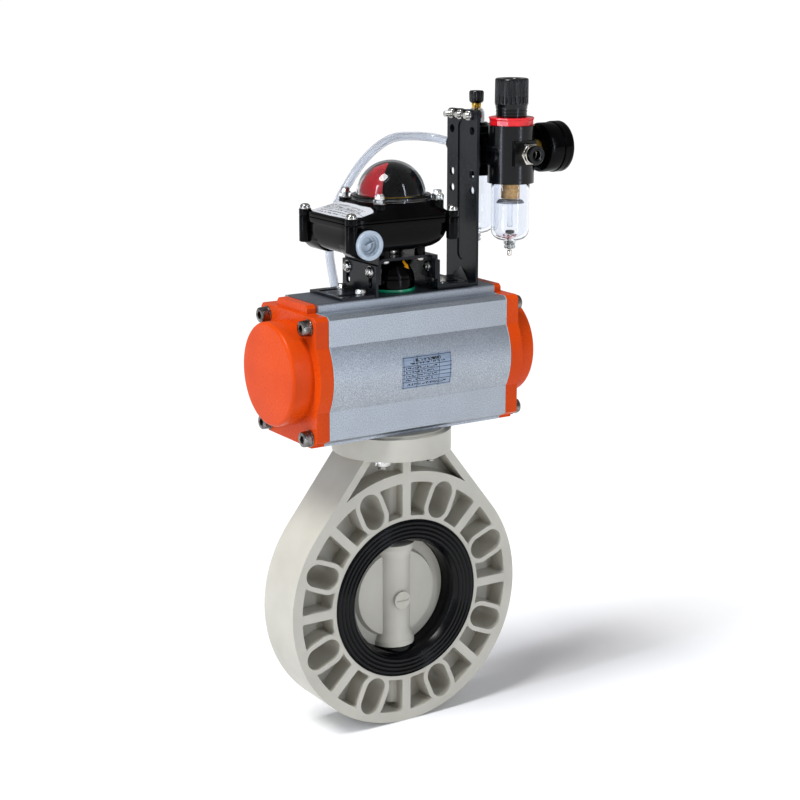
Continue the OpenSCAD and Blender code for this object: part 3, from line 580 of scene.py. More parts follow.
def clear_plastic(name, tint, rough=0.03, ior=1.5, haze=0.0):
    """Clear plastic: light passes with a faint tint; tiny moulding waves bend the highlights."""
    material, tree, principled = shader(
        name, Base_Color=colour(tint), Transmission_Weight=1.0 - haze, IOR=ior, Roughness=rough
    )
    place = add(tree, "ShaderNodeTexCoord").outputs["Object"]
    bumped(tree, principled, noise(tree, place, 7.0, 1.0), 0.03)
    return material


def bowl_plastic():
    """Clear polycarbonate of the bowls: water-clear with soft moulding waves."""
    return clear_plastic("Clear polycarbonate bowl", "#f3f6fb", 0.03, 1.42)


def tube_plastic():
    """Natural polyurethane tube: nearly clear, milky, soft sheen."""
    return clear_plastic("Natural polyurethane tube", "#e9edf4", 0.12, 1.3, 0.25)


def plug_polyethylene():
    """Natural polyethylene plug: milky, pale blue-grey, light glows through thin walls."""
    return surfaced(
        "Natural polyethylene", "#b7c4d0", "#a3b2c0", 0.2, cloud=6, grain=0.8, depth=0.01,
        IOR=1.5, Transmission_Weight=0.12,
    )


def studio_floor():
    """Pale seamless paper: matt white with a faint fibre."""
    return surfaced(
        "Seamless paper", "#fcfcfc", "#fafafa", 0.95, cloud=60, grain=6.0, depth=0.01, swing=0.02,
        Specular_IOR_Level=0.1,
    )


# ---------- small hardware ----------


def hex_ring(af, z, steps=48, sides=6):
    """Points on a polygon at equal angles: half the flats over the cosine of the angle off the flat."""
    a = np.arange(steps) * TAU / steps
    r = af / 2 / np.cos(np.mod(a, TAU / sides) - TAU / sides / 2)
    return np.stack([r * np.cos(a), r * np.sin(a), np.full(steps, float(z))], 1)


def cross_ring(length, width, z, steps=48):
    """Points on a plus sign at equal angles: the nearer of the arm's end and the arm's side."""
    a = np.arange(steps) * TAU / steps
    c, s = np.abs(np.cos(a)), np.abs(np.sin(a))
    r = np.minimum(length / 2 / np.maximum(c, s), width / 2 / np.maximum(np.minimum(c, s), 1e-3))
    return np.stack([r * np.cos(a), r * np.sin(a), np.full(steps, float(z))], 1)


def circle_ring(radius, z, steps=48, ripple=0.0, count=24):
    """Points on a circle, with an optional cosine ripple for a knurl."""
    a = np.arange(steps) * TAU / steps
    r = radius + ripple * np.cos(count * a)
    return np.stack([r * np.cos(a), r * np.sin(a), np.full(steps, float(z))], 1)


def socket_screw(radius, height, socket, shank, length):
    """Cap screw: knurled head with a hexagon socket, and a plain shank below the origin."""
    n = 144
    rings = [
        circle_ring(shank - 0.5, -length, n), circle_ring(shank, -length + 0.6, n), circle_ring(shank, 0, n),
        circle_ring(radius - 0.5, 0, n), circle_ring(radius - 0.1, 0.3, n),
        circle_ring(radius - 0.1, 0.6, n, 0.12, 36), circle_ring(radius - 0.1, height - 1.4, n, 0.12, 36),
        circle_ring(radius - 0.1, height - 1.0, n), circle_ring(radius - 0.3, height - 0.4, n),
        circle_ring(radius - 0.9, height, n), hex_ring(socket + 0.5, height, n),
        hex_ring(socket, height - 0.35, n), hex_ring(socket, height - 4.0, n),
        circle_ring(0.6, height - 5.2, n),
    ]
    return loft(rings)


def shank_rings(radius, length, steps):
    """Rings of a plain shank below the origin, with a chamfered end."""
    return [circle_ring(radius - 0.4, -length, steps), circle_ring(radius, -length + 0.5, steps),
            circle_ring(radius, 0, steps)]


def pan_head(radius, height, shank, length):
    """Pan-head screw: domed head with a cross recess, and a shank below the origin."""
    n = 48
    crown = [(1.0, 0.0), (1.0, 0.35), (0.93, 0.62), (0.8, 0.82), (0.62, 0.94), (0.5, 1.0)]
    rings = shank_rings(shank, length, n)
    rings += [circle_ring(radius * r, height * h, n) for r, h in crown]
    reach = radius * 0.95
    rings += [
        cross_ring(reach, radius * 0.26, height, n), cross_ring(reach * 0.9, radius * 0.22, height * 0.75, n),
        circle_ring(radius * 0.09, height * 0.45, n),
    ]
    return loft(rings)


def hex_screw(af, height, shank, length, washer=0.0):
    """Hexagon screw with a chamfered crown, a flange or washer under it, and a shank."""
    n = 48
    rings = shank_rings(shank, length, n)
    base = 0.0
    if washer:
        rings += [circle_ring(washer, 0, n), circle_ring(washer, 0.7, n)]
        base = 0.7
    rings += [hex_ring(af, base, n), hex_ring(af, height - 0.6, n), circle_ring(af / 2 * 0.98, height, n)]
    rings += [circle_ring(af / 2 * 0.6, height - 0.25, n)]
    return loft(rings)


def hex_nut(af, height, bore):
    """Open nut: chamfered hexagon outside and a round bore."""
    n = 48
    rings = [
        circle_ring(af / 2 * 0.98, 0, n), hex_ring(af, 0.5, n), hex_ring(af, height - 0.5, n),
        circle_ring(af / 2 * 0.98, height, n), circle_ring(bore + 0.4, height, n),
        circle_ring(bore, height - 0.4, n), circle_ring(bore, 0.4, n), circle_ring(bore + 0.4, 0, n),
    ]
    points = np.concatenate(rings)
    return points, grid_faces(len(rings), n, wrap_rows=True)


def thread_profile(radius, z0, z1, pitch=1.25):
    """Outline of a threaded bar as stacked rings: the radius zigzags once a pitch."""
    turns = int((z1 - z0) / pitch)
    z = np.linspace(z0, z1, 2 * turns + 1)
    r = radius - 0.35 * (np.arange(2 * turns + 1) % 2)
    return np.concatenate([[(0, z0)], np.stack([r, z], 1), [(0, z1)]])


def at_places(part, places, axis="z"):
    """Copies of a part at several places, all pointing the same way."""
    points, faces = part
    return [(placed(points, axis, place), faces) for place in places]


def four_corners(x, y, z):
    """Four places at plus and minus x and y, at one height."""
    return [(i * x, j * y, z) for i in (-1, 1) for j in (-1, 1)]


def dress(material, *nodes):
    """Gives CAD nodes a finish through their own material slots."""
    for node in nodes:
        for entry in frame["nodes"][node].material_slots:
            entry.material = material


FINISHES = {}


def cached(make):
    """One material for each finish, however many pieces share it."""
    if make.__name__ not in FINISHES:
        FINISHES[make.__name__] = make()
    return FINISHES[make.__name__]


def carved(piece, parts, how="DIFFERENCE"):
    """Cuts closed parts out of a piece, or joins them into one skin with it."""
    cutter = build(piece.name + "_cutter", parts, "frame", None)
    cut = piece.modifiers.new("Holes", "BOOLEAN")
    cut.object = cutter
    cut.operation = how
    cut.solver = "EXACT"
    solid = bpy.data.meshes.new_from_object(piece.evaluated_get(bpy.context.evaluated_depsgraph_get()))
    piece.modifiers.clear()
    piece.data = solid
    bpy.data.objects.remove(cutter)
    sharpen(piece.data, 35)
    return piece


def rod(radius, z0, z1, axis="z", at=(0, 0, 0), edge=0.3, steps=48):
    """A round bar along an axis with its two rims rounded."""
    profile = [(0, z0), (radius, z0), (radius, z1), (0, z1)]
    return turned(profile, [0, edge, edge, 0], axis=axis, at=at, steps=steps)


def tube(outer, inner, z0, z1, axis="z", at=(0, 0, 0), edge=0.3, steps=64):
    """A round sleeve along an axis with its four rims rounded."""
    profile = [(inner, z0), (outer, z0), (outer, z1), (inner, z1)]
    return revolve(fillet(profile, edge, 3, closed=True), axis, at, steps)


def block(low, high, edge=0.5):
    """A box between two corners with all edges rounded."""
    low, high = np.asarray(low, float), np.asarray(high, float)
    size, centre = high - low, (low + high) / 2
    outline = rectangle(size[0], size[1], edge, 3, centre[:2])
    return prism(outline, low[2], high[2], edge)


# ---------- sizes and colours a user may change ----------


def shade_of(name, description, code):
    """A colour setting whose default is an sRGB hex code."""
    return bpy.props.FloatVectorProperty(
        name=name, description=description, default=linear(code), size=3, min=0, max=1, subtype="COLOR"
    )


def length_of(name, description, default, low=0.0, high=1000.0):
    """A length setting in millimetres."""
    return bpy.props.FloatProperty(name=name, description=description, default=default, min=low, max=high)


class ValveLooks(bpy.types.PropertyGroup):
    """Colours and edge sizes of the shown pieces."""

    body_plastic: shade_of("Body plastic", "Beige polypropylene of the valve body and disc", "#bbb8ad")
    cap_paint: shade_of("Cap paint", "Orange powder coat of the end caps", "#cd450b")
    ring_red: shade_of("Lock ring", "Red plastic of the regulator's lock ring", "#ee1c26")
    sector_red: shade_of("Closed sector", "Red plastic of the indicator's closed sectors", "#c3121f")
    sector_yellow: shade_of("Open sector", "Yellow plastic of the indicator's open sectors", "#f2c21a")
    arrow_yellow: shade_of("Arrow", "Yellow paint of the position arrow", "#f3a41b")
    base_green: shade_of("Puck base", "Green plastic ring under the position puck", "#18a878")
    seat_ridges: bpy.props.IntProperty(
        name="Seat ridges", description="Concentric ridges on each sealing face", default=4, min=1, max=8
    )
    knob_ribs: bpy.props.IntProperty(
        name="Knob ribs", description="Grip ribs round the regulator knob", default=24, min=8, max=40
    )
    body_edge: length_of("Body edge", "Edge radius of the moulded body in millimetres", 0.9, 0.2, 2.0)
    pocket_corner: length_of("Pocket corner", "Fillet radius in the pockets in millimetres", 2.6, 0.5, 4.0)
    cap_edge: length_of("Cap edge", "Edge radius of the end caps in millimetres", 1.2, 0.2, 2.5)


class StudioLooks(bpy.types.PropertyGroup):
    """Camera: its direction, height angle, distance and lens."""

    azimuth: bpy.props.FloatProperty(
        name="Azimuth", description="Camera direction round the upright axis, in degrees", default=-32.7
    )
    elevation: bpy.props.FloatProperty(
        name="Elevation", description="Camera height angle, in degrees", default=13.75
    )
    distance: bpy.props.FloatProperty(
        name="Distance", description="Camera distance from the aim point", default=1.5913, unit="LENGTH"
    )
    lens: bpy.props.FloatProperty(
        name="Lens", description="Focal length in mm on a 36 mm sensor", default=82.6, min=20, max=200
    )


def looks():
    """The valve's colour and size settings."""
    return bpy.context.scene.valve_looks


# ---------- valve ----------

# Pockets of the body: inner and outer radius, half a rib, and the round ends of the slot walls.
POCKET_IN = 75.0
POCKET_OUT = 105.0
RIB_HALF = 4.0
WALL_RADIUS = 14.0
WALL_ENDS = {POCKET_IN: 84.5, POCKET_OUT: 98.0}
POCKET_FLOOR = 5.0
BODY_FACE = 25.0
FILLET_ROOT = 0.8
# Pipe bore, and the four bolts under the actuator: half their spacing and the height of their pad.
PIPE_RADIUS = 51.0
PAD_BOLT = 24.75
PAD_Z = 130


def corner_fillet(corner, along_one, along_other, radius, steps=6):
    """Outline that rounds an inside corner: an arc tangent to both walls, closed behind the corner."""
    one, other = (np.asarray(v, float) / np.linalg.norm(v) for v in (along_one, along_other))
    inward = (one + other) / np.linalg.norm(one + other)
    arc = tangent_arc(corner, one, other, radius, steps)
    outline = np.concatenate([arc, (corner - inward * FILLET_ROOT)[None]])
    area = np.sum(outline[:, 0] * np.roll(outline[:, 1], -1) - outline[:, 1] * np.roll(outline[:, 0], -1))
    return outline if area > 0 else outline[::-1]


def turned_flat(points, angle):
    """Flat points turned about the origin by an angle in degrees."""
    a = math.radians(angle)
    return np.asarray(points) @ np.array([[math.cos(a), math.sin(a)], [-math.sin(a), math.cos(a)]])


def pocket_corners():
    """Corner, its two wall directions and a size for each pocket corner.

    A straight rib stands every 45 degrees, with a slot's round wall half way to the next one.
    """
    for turn in range(8):
        for side in (-1, 1):
            for radius, out in ((POCKET_IN, 1), (POCKET_OUT, -1)):
                rib = np.array([math.sqrt(radius**2 - RIB_HALF**2), RIB_HALF * side])
                centre = WALL_ENDS[radius]
                x = (radius**2 + centre**2 - WALL_RADIUS**2) / (2 * centre)
                wall = np.array([x, -side * math.sqrt(radius**2 - x**2)])
                up_wall = np.array([-wall[1], x - centre])
                up_wall *= -side * np.sign(up_wall[1])
                for corner, angle, sense, along, size in (
                    (rib, turn * 45, side, np.array([out, 0.0]), 1.0),
                    (wall, turn * 45 + side * 22.5, -side, up_wall, 0.55),
                ):
                    tangent = np.array([-corner[1], corner[0]]) * sense
                    yield [turned_flat(v, angle) for v in (corner, along, tangent)], size


class VALVE_OT_body(bpy.types.Operator):
    """Moulded wafer body: rounded copy of the frame's ribbed casting, with filleted pocket corners"""

    bl_idname = "valve.body"
    bl_label = "Valve body"

    def execute(self, context):
        plastic = cached(moulded_polypropylene)
        rounded_copy("valve_body", looks().body_edge, plastic, angle=30)
        fillets = []
        for (corner, one, other), size in pocket_corners():
            outline = corner_fillet(corner, one, other, looks().pocket_corner * size)
            for axis in ("-y", "y"):
                fillets.append(prism(outline, POCKET_FLOOR - 0.5, BODY_FACE - 0.6, 0.1, axis=axis))
        build("body_pocket_fillets", fillets, "frame", plastic, slot="beige_plastic", smooth=50)
        return {"FINISHED"}


class VALVE_OT_seat(bpy.types.Operator):
    """Rubber seat: a spool turned about the pipe, with ridged sealing faces and two stem bosses"""

    bl_idname = "valve.seat"
    bl_label = "Rubber seat"

    def execute(self, context):
        low, high = box_mm("seat_liner")
        lip, outer = high[1], (high[0] - low[0]) / 2
        bore, count = PIPE_RADIUS, looks().seat_ridges
        r = np.linspace(55.2, outer - 1.4, 26 * count)
        phase = (r - r[0]) / (r[-1] - r[0]) * count
        height = lip - 0.95 * np.abs(np.cos(math.pi * phase)) ** 6
        face = np.stack([r, height], 1)
        mouth = [(bore, lip - 4.6), (bore + 0.3, lip - 4.0), (54.2, lip - 0.2)]
        rim = [(outer - 0.5, lip - 0.25), (outer, lip - 0.9), (outer, 21.2), (outer - 0.3, 21.0)]
        face = np.concatenate([mouth, face, rim])
        half = np.concatenate([face, [(57.98, 21.0)]])
        profile = np.concatenate([half, half[::-1] * [1, -1]])
        spool = revolve(profile, "y", steps=160)
        bosses = [rod(20.5, s * 49.8 - 3.1, s * 49.8 + 3.1, edge=0.5, steps=96) for s in (-1, 1)]
        rubber = cached(epdm_rubber)
        piece = build("rubber_seat", [spool, *bosses], "frame", rubber, ("seat_liner",), smooth=50)
        carved(piece, [rod(9.06, -75, 75, edge=0.1)])
        return {"FINISHED"}


class VALVE_OT_disc(bpy.types.Operator):
    """Disc with its hub, the screwed plug in the hub, the stem, bushes, seals and pad bolts"""

    bl_idname = "valve.disc"
    bl_label = "Disc and stem"

    def execute(self, context):
        plastic = cached(moulded_polypropylene)
        rounded_copy("disc", 0.7, plastic, angle=28)
        rounded_copy("disc_plug", 0.35, plastic, angle=30)
        dress(cached(stainless_steel), "stem")
        dress(cached(acetal), "shaft_bushes")
        dress(cached(epdm_rubber), "stem_seals")
        places = four_corners(PAD_BOLT, PAD_BOLT, PAD_Z)
        thread = revolve(thread_profile(4, -33.5, 8.5), steps=32)
        bolts = []
        for part in (thread, hex_nut(13, 5.3, 4), tube(8, 4.2, -1.6, 0, edge=0.25)):
            bolts += at_places(part, places, "-z")
        build("pad_bolts_steel", bolts, "frame", cached(stainless_steel), ("pad_bolts",))
        return {"FINISHED"}


# ---------- actuator ----------


# Print on the plates: size of a dash, half the width of a line and the softness of its edge, in millimetres.
DASH = 1.3
LINE_HALF = 0.25
INK_EDGE = 0.08


def ruled(tree, coordinate, places, half_width):
    """One inside any of several bands across a coordinate, zero between them; lengths in millimetres."""
    total = None
    for place in places:
        off = add(tree, "ShaderNodeMath", {0: coordinate, 1: place * MM}, operation="SUBTRACT").outputs[0]
        off = add(tree, "ShaderNodeMath", {0: off}, operation="ABSOLUTE").outputs[0]
        line = spread(tree, off, (half_width - INK_EDGE) * MM, (half_width + INK_EDGE) * MM, 1.0, 0.0)
        if total is not None:
            line = add(tree, "ShaderNodeMath", {0: total, 1: line}, operation="MAXIMUM").outputs[0]
        total = line
    return total


def marks(tree, place, along, rows, ends, half_height):
    """Rows of small irregular dashes that spell nothing.

    along is the coordinate that a row runs along, between the two ends; rows is (coordinate, places).
    """
    band = ruled(tree, rows[0], rows[1], half_height)
    inside = ruled(tree, along, [(ends[0] + ends[1]) / 2], (ends[1] - ends[0]) / 2)
    specks = spread(tree, noise(tree, place, DASH, 0.0), 0.47, 0.52, 0.0, 1.0)
    field = add(tree, "ShaderNodeMath", {0: band, 1: inside}, operation="MULTIPLY").outputs[0]
    return add(tree, "ShaderNodeMath", {0: field, 1: specks}, operation="MULTIPLY").outputs[0]


def printed_foil(name, rows, columns, dashes, axes=("X", "Z"), shades=("#74839a", "#93a1b2"), metal=0.65):
    """Printed aluminium foil: brushed metal with ruled lines and rows of dashes in dark ink, no lettering."""
    material, tree, principled = shader(name, Metallic=metal)
    place = add(tree, "ShaderNodeTexCoord").outputs["Object"]
    parts = add(tree, "ShaderNodeSeparateXYZ", {"Vector": place}).outputs
    long_grain = add(tree, "ShaderNodeMapping", {"Vector": place, "Scale": (0.05, 1, 1)}).outputs["Vector"]
    brushed = noise(tree, long_grain, 0.5, 3.0)
    dull, light = (colour(code) for code in shades)
    foil = blend_colours(tree, spread(tree, brushed, 0.3, 0.7, 0.0, 1.0), dull, light)
    across, up = (parts[axis] for axis in axes)
    layers = [ruled(tree, up, rows, LINE_HALF)]
    if columns:
        layers.append(ruled(tree, across, columns, LINE_HALF))
    for places, ends, half_height in dashes:
        layers.append(marks(tree, place, across, (up, places), ends, half_height))
    ink = layers[0]
    for layer in layers[1:]:
        ink = add(tree, "ShaderNodeMath", {0: ink, 1: layer}, operation="MAXIMUM").outputs[0]
    tree.links.new(blend_colours(tree, ink, foil, colour("#262c33")), principled.inputs["Base Color"])
    tree.links.new(spread(tree, brushed, 0.3, 0.7, 0.28, 0.4), principled.inputs["Roughness"])
    bumped(tree, principled, brushed, 0.01)
    return material


# Cap screws: half their spacing across, and their two heights.
CAP_SCREW_Y = 34.7
CAP_SCREW_Z = (161.5, 254)
# The nameplate lies on the body's bulge: height of its axis, and its radius.
BULGE_Z = 211.0
BULGE_RADIUS = 53.0


class VALVE_OT_actuator(bpy.types.Operator):
    """Extruded cylinder body, pistons, pinion and seals"""

    bl_idname = "valve.actuator"
    bl_label = "Actuator body"

    def execute(self, context):
        rounded_copy("actuator_body", 0.6, cached(blasted_aluminium))
        dress(cached(machined_alloy), "piston_left", "piston_right")
        dress(cached(epdm_rubber), "piston_seal_left", "piston_seal_right")
        dress(cached(gear_steel), "pinion")
        return {"FINISHED"}


class VALVE_OT_caps(bpy.types.Operator):
    """End caps with their gaskets and socket screws"""

    bl_idname = "valve.caps"
    bl_label = "End caps"

    def execute(self, context):
        paint = cached(orange_powder)
        edge = looks().cap_edge
        rounded_copy("end_cap_left", edge, paint, segments=3)
        rounded_copy("end_cap_right", edge, paint, segments=3)
        dress(cached(gasket_rubber), "cap_gaskets")
        low, high = box_mm("cap_screws")
        head = 8
        screw = socket_screw(6.5, head, 6, 4, 30)
        washer = tube(7.1, 4.3, -0.02, 1.2, edge=0.3)
        parts = []
        for axis, x in (("-x", low[0] + head), ("x", high[0] - head)):
            places = [(x, y, z) for y in (-CAP_SCREW_Y, CAP_SCREW_Y) for z in CAP_SCREW_Z]
            parts += at_places(screw, places, axis)
            parts += at_places(washer, places, axis)
        build("cap_screws_steel", parts, "frame", cached(zinc_steel), ("cap_screws",))
        return {"FINISHED"}


class VALVE_OT_nameplate(bpy.types.Operator):
    """Nameplate without words: a thin sheet bent to the body's bulge, with ruled lines and dashes"""

    bl_idname = "valve.nameplate"
    bl_label = "Nameplate"

    def execute(self, context):
        low, high = box_mm("nameplate")
        x0, x1, z0, z1 = low[0], high[0], low[2], high[2]
        across, tall = x1 - x0, z1 - z0
        middle_point = np.array([(x0 + x1) / 2, (z0 + z1) / 2])
        sheet = divided(rectangle(across, tall, 2.5, 6, middle_point), 3.0)
        levels = [(0.04, k) for k in np.linspace(0, 1, 16)[1:]]
        levels += [(0.4, 1.0), (0.5, 0.992), (0.5, 0.972), (0.38, 0.962)]
        levels += [(0.38, k) for k in np.linspace(0.95, 0, 16)]
        rings = []
        for rise, scale in levels:
            flat = middle_point + (sheet - middle_point) * scale
            depth = np.sqrt((BULGE_RADIUS + rise) ** 2 - (flat[:, 1] - BULGE_Z) ** 2)
            rings.append(np.stack([flat[:, 0], -depth, flat[:, 1]], 1))
        rows = [z0 + 1.2, z1 - 1.2] + [z0 + tall * k for k in (0.22, 0.34, 0.46, 0.58, 0.7)]
        columns = [x0 + 1.2, x1 - 1.2, x0 + across * 0.3, x0 + across * 0.74]
        dashes = [((z0 + tall * 0.86,), (x0 + across * 0.22, x1 - across * 0.22), 1.3),
                  ((z0 + tall * 0.77,), (x0 + across * 0.14, x1 - across * 0.14), 0.7),
                  ((z0 + tall * 0.13,), (x0 + across * 0.1, x1 - across * 0.1), 1.0),
                  ([z0 + tall * k for k in (0.28, 0.4, 0.52, 0.64)], (x0 + 3, x1 - across * 0.3), 0.8)]
        foil = printed_foil("Printed nameplate foil", rows, columns, dashes)
        build("nameplate_foil", [loft(rings)], "frame", foil, ("nameplate",), smooth=60)
        return {"FINISHED"}


# ---------- bracket and position puck ----------


class VALVE_OT_bracket(bpy.types.Operator):
    """Bent sheet-steel feet and bridge with their screws and nuts"""

    bl_idname = "valve.bracket"
    bl_label = "Box bracket"

    def execute(self, context):
        paint = cached(black_powder)
        for node in ("foot_left", "foot_right", "bridge_bracket"):
            rounded_copy(node, 0.45, paint)
        pan = pan_head(4.6, 3.4, 2.5, 10)
        washer = tube(5.2, 2.6, -0.02, 0.8, edge=0.2)
        parts = []
        screw_y, screw_z = (-18, 18), 291
        for side, out, back in ((-1, "-x", "x"), (1, "x", "-x")):
            places = [(side * 32, y, screw_z) for y in screw_y]
            parts += at_places(pan, places, out) + at_places(washer, places, out)
            parts += at_places(hex_nut(8, 3.6, 2.5), [(side * 27, y, screw_z) for y in screw_y], back)
        for x, z in ((-40, 273), (40, 275.5)):
            screw = hex_screw(8, 4, 2.5, 10, washer=5.4)
            parts += at_places(screw, [(x, y, z) for y in (-15, 15)])
        build("bracket_screws_steel", parts, "frame", cached(stainless_steel), ("bracket_screws",))
        return {"FINISHED"}


# The arrow on the puck: its angle about the stem, its middle height and its tilt in degrees.
ARROW_ANGLE = 292
ARROW_Z = 293.2
ARROW_TILT = 18


def puck_radius(z):
    """Outside radius of the puck's cone at a height: 20 mm at its foot, 12.5 mm at its top 13 mm above."""
    return 20 + (np.asarray(z, float) - 285) * (12.5 - 20) / 13


class VALVE_OT_puck(bpy.types.Operator):
    """Position puck on the pinion: turned black body, green base ring and a raised arrow"""

    bl_idname = "valve.puck"
    bl_label = "Position puck"

    def execute(self, context):
        outline = [(8.95, 273.4), (19.7, 273.4), (20, 273.9), (20, 281.4), (19.4, 282.0), (19.4, 284.6),
                   (18.9, 285.9), (12.7, 297.2), (11.9, 298), (6.05, 298), (6.05, 286), (8.95, 286)]
        body = revolve(fillet(outline, 0.3, 2, closed=True), steps=96)
        build("puck_body", [body], "stem_group", cached(black_lacquer), ("indicator_puck",))
        ring = tube(20.4, 12, 270.8, 273.4, edge=0.35, steps=96)
        green = gloss_plastic("Green moulded ABS", looks().base_green, "#0e7a58")
        build("puck_base_ring", [ring], "stem_group", green, ("puck_ring",))
        half = [(1.5, 4.2), (1.5, -0.4), (3.3, -0.4)]
        flat = [(-x, z) for x, z in half] + [(0, -4.4)] + half[::-1]
        flat = turned_flat(fillet(flat, 0.25, 2, closed=True), ARROW_TILT)
        rings = []
        for rise, size in ((-0.7, 1.0), (0.05, 1.0), (0.25, 0.93)):
            z = ARROW_Z + flat[:, 1] * size * 0.86
            r = puck_radius(z) + rise
            a = math.radians(ARROW_ANGLE) + flat[:, 0] * size / 15.5
            rings.append(np.stack([r * np.cos(a), r * np.sin(a), z], 1))
        arrow = gloss_plastic("Arrow paint", looks().arrow_yellow, "#d98a10")
        build("puck_arrow_raised", [loft(rings)], "stem_group", arrow, ("puck_arrow",))
        return {"FINISHED"}


# ---------- switch box ----------

# Switch box: ends along X, half its width, the seam's height, half the gap at the seam and the posts' radius.
BOX_SPAN = (-63.9, 39.1)
BOX_HALF = 39.0
SEAM_Z = 334.4
SEAM_GAP = 0.15
POST_RADIUS = 5.3
# Corner posts, dome screws and feet, as x and y; centre of the dome's sphere; cable entries.
EARS = [(x, y) for x in (-61.9, 37.1) for y in (-37.5, 37.5)]
DOME_EARS = [(x, y) for x in (-28.5, 28.5) for y in (-27.5, 27.5)]
FEET = [(x, y) for x in (-17.5, 17.5) for y in (-17.5, 17.5)]
DOME_Z = 351.0
ENTRY_X = -48.7
ENTRY_Z = 318


def box_ring(inset_left, inset_right, inset_side, z, power=9.0, steps=144):
    """Plan of the box at one height: a superellipse set in from each side by its own amount."""
    x0, x1 = BOX_SPAN[0] + inset_left, BOX_SPAN[1] - inset_right
    flat = superellipse(x1 - x0, 2 * (BOX_HALF - inset_side), power, steps)
    return np.c_[flat + [(x0 + x1) / 2, 0], np.full(steps, float(z))]


def post(place, z0, z1, low_edge, high_edge):
    """Round screw post at an (x, y) place with its two rims rounded by their own radii."""
    profile = [(0, z0), (POST_RADIUS, z0), (POST_RADIUS, z1), (0, z1)]
    return turned(profile, [0, low_edge, high_edge, 0], at=(*place, 0), steps=40)


class VALVE_OT_box_base(bpy.types.Operator):
    """Lower half of the switch box: lofted plan rings, hollow, with posts, feet and two cable bosses"""

    bl_idname = "valve.box_base"
    bl_label = "Switch box base"

    def execute(self, context):
        # Each row is the inset at the left, right and sides, the height, and the power of the superellipse.
        outer = [
            (11.0, 17.5, 15.0, 308.0, 5), (8.0, 14.5, 12.0, 308.5, 5), (4.8, 10.0, 8.0, 310.4, 6),
            (2.6, 6.5, 5.0, 313.6, 7), (1.8, 4.0, 3.0, 318.0, 8), (1.5, 2.6, 1.9, 323.0, 9),
            (1.5, 1.6, 1.5, 329.2, 9), (1.2, 1.3, 1.2, 329.8, 9), (0.2, 0.2, 0.2, 330.1, 9),
            (0.0, 0.0, 0.0, 330.5, 9), (0.0, 0.0, 0.0, 333.9, 9), (0.4, 0.4, 0.4, 334.3, 9),
        ]
        inner = [(4.5, 4.5, 4.5, 334.3, 8), (4.8, 5.5, 5.2, 318.0, 8), (9.0, 14.0, 11.5, 312.6, 6),
                 (13.5, 20.0, 17.5, 311.6, 5)]
        rings = [box_ring(*row[:4], power=row[4]) for row in outer + inner]
        shell = loft(rings)
        posts = [post(ear, 312 if ear[0] < 0 else 316, SEAM_Z - SEAM_GAP, 1.0, 0.35) for ear in EARS]
        feet = [rod(4.6, 301.5, 312.5, at=(*foot, 0), edge=0.4) for foot in FEET]
        boss = [(0, 18), (13.2, 18), (13.2, 42), (9.9, 42), (9.6, 41.6), (9.6, 33), (0, 33)]
        boss = fillet(boss, [0, 0.3, 0.8, 0.2, 0.2, 0.2, 0], 3)
        bosses = [revolve(boss, axis, (ENTRY_X, 0, ENTRY_Z), 96) for axis in ("-y", "y")]
        lacquer = cached(black_lacquer)
        piece = build("box_base_shell", [shell], "frame", lacquer, ("switch_base",), smooth=40)
        carved(piece, [rod(6.1, 300, 320)])
        carved(piece, [*feet, *bosses], "UNION")
        carved(piece, posts, "UNION")
        return {"FINISHED"}


class VALVE_OT_box_cover(bpy.types.Operator):
    """Upper half of the box: a rounded rectangle that rises in a shallow cone to the dome's round seat"""

    bl_idname = "valve.box_cover"
    bl_label = "Switch box cover"

    def execute(self, context):
        rows = ((0.5, 334.5), (0.0, 334.9), (0.0, 337.3), (0.15, 337.8))
        walls = [box_ring(inset, inset, inset, z) for inset, z in rows]
        rim_z, seat_z = 338.2, 348.0
        rim = box_ring(0.6, 0.6, 0.6, rim_z)
        seat = circle_ring(34.6, seat_z, len(rim))
        roof = []
        for t in np.linspace(0, 1, 11):
            ring = rim + (seat - rim) * t
            ring[:, 2] = rim_z + (seat_z - rim_z) * t**1.12
            roof.append(ring)
        crown = [seat * [0.995, 0.995, 1] + [0, 0, 0.4], seat * [0.97, 0.97, 1] + [0, 0, 0.5],
                 seat * [0.8, 0.8, 1] + [0, 0, 0.5], seat * [0.8, 0.8, 1] + [0, 0, -3.2]]
        inside = [box_ring(6, 5, 6, 336.6), box_ring(4.6, 4.2, 4.6, 334.5)]
        rings = walls + roof + crown + inside
        points = np.concatenate(rings)
        shell = (points, grid_faces(len(rings), len(rim), wrap_rows=True))
        posts = [post(ear, SEAM_Z + SEAM_GAP, 340, 0.35, 0.6) for ear in EARS]
        lugs = [post(ear, 336, 348.5, 0.3, 0.5) for ear in DOME_EARS]
        lacquer = cached(black_lacquer)
        piece = build("box_cover_shell", [shell], "frame", lacquer, ("switch_cover",), smooth=40)
        carved(piece, posts, "UNION")
        carved(piece, lugs, "UNION")
        return {"FINISHED"}


def height_on(piece, x, y):
    """Height of a piece's top above a place, found by a ray from above; all in millimetres."""
    hit, point, *_ = piece.ray_cast(Vector((x * MM, y * MM, 0.36)), Vector((0, 0, -1)))
    if not hit:
        raise RuntimeError(f"nothing of {piece.name} lies under {x:.1f}, {y:.1f}")
    return point.z / MM


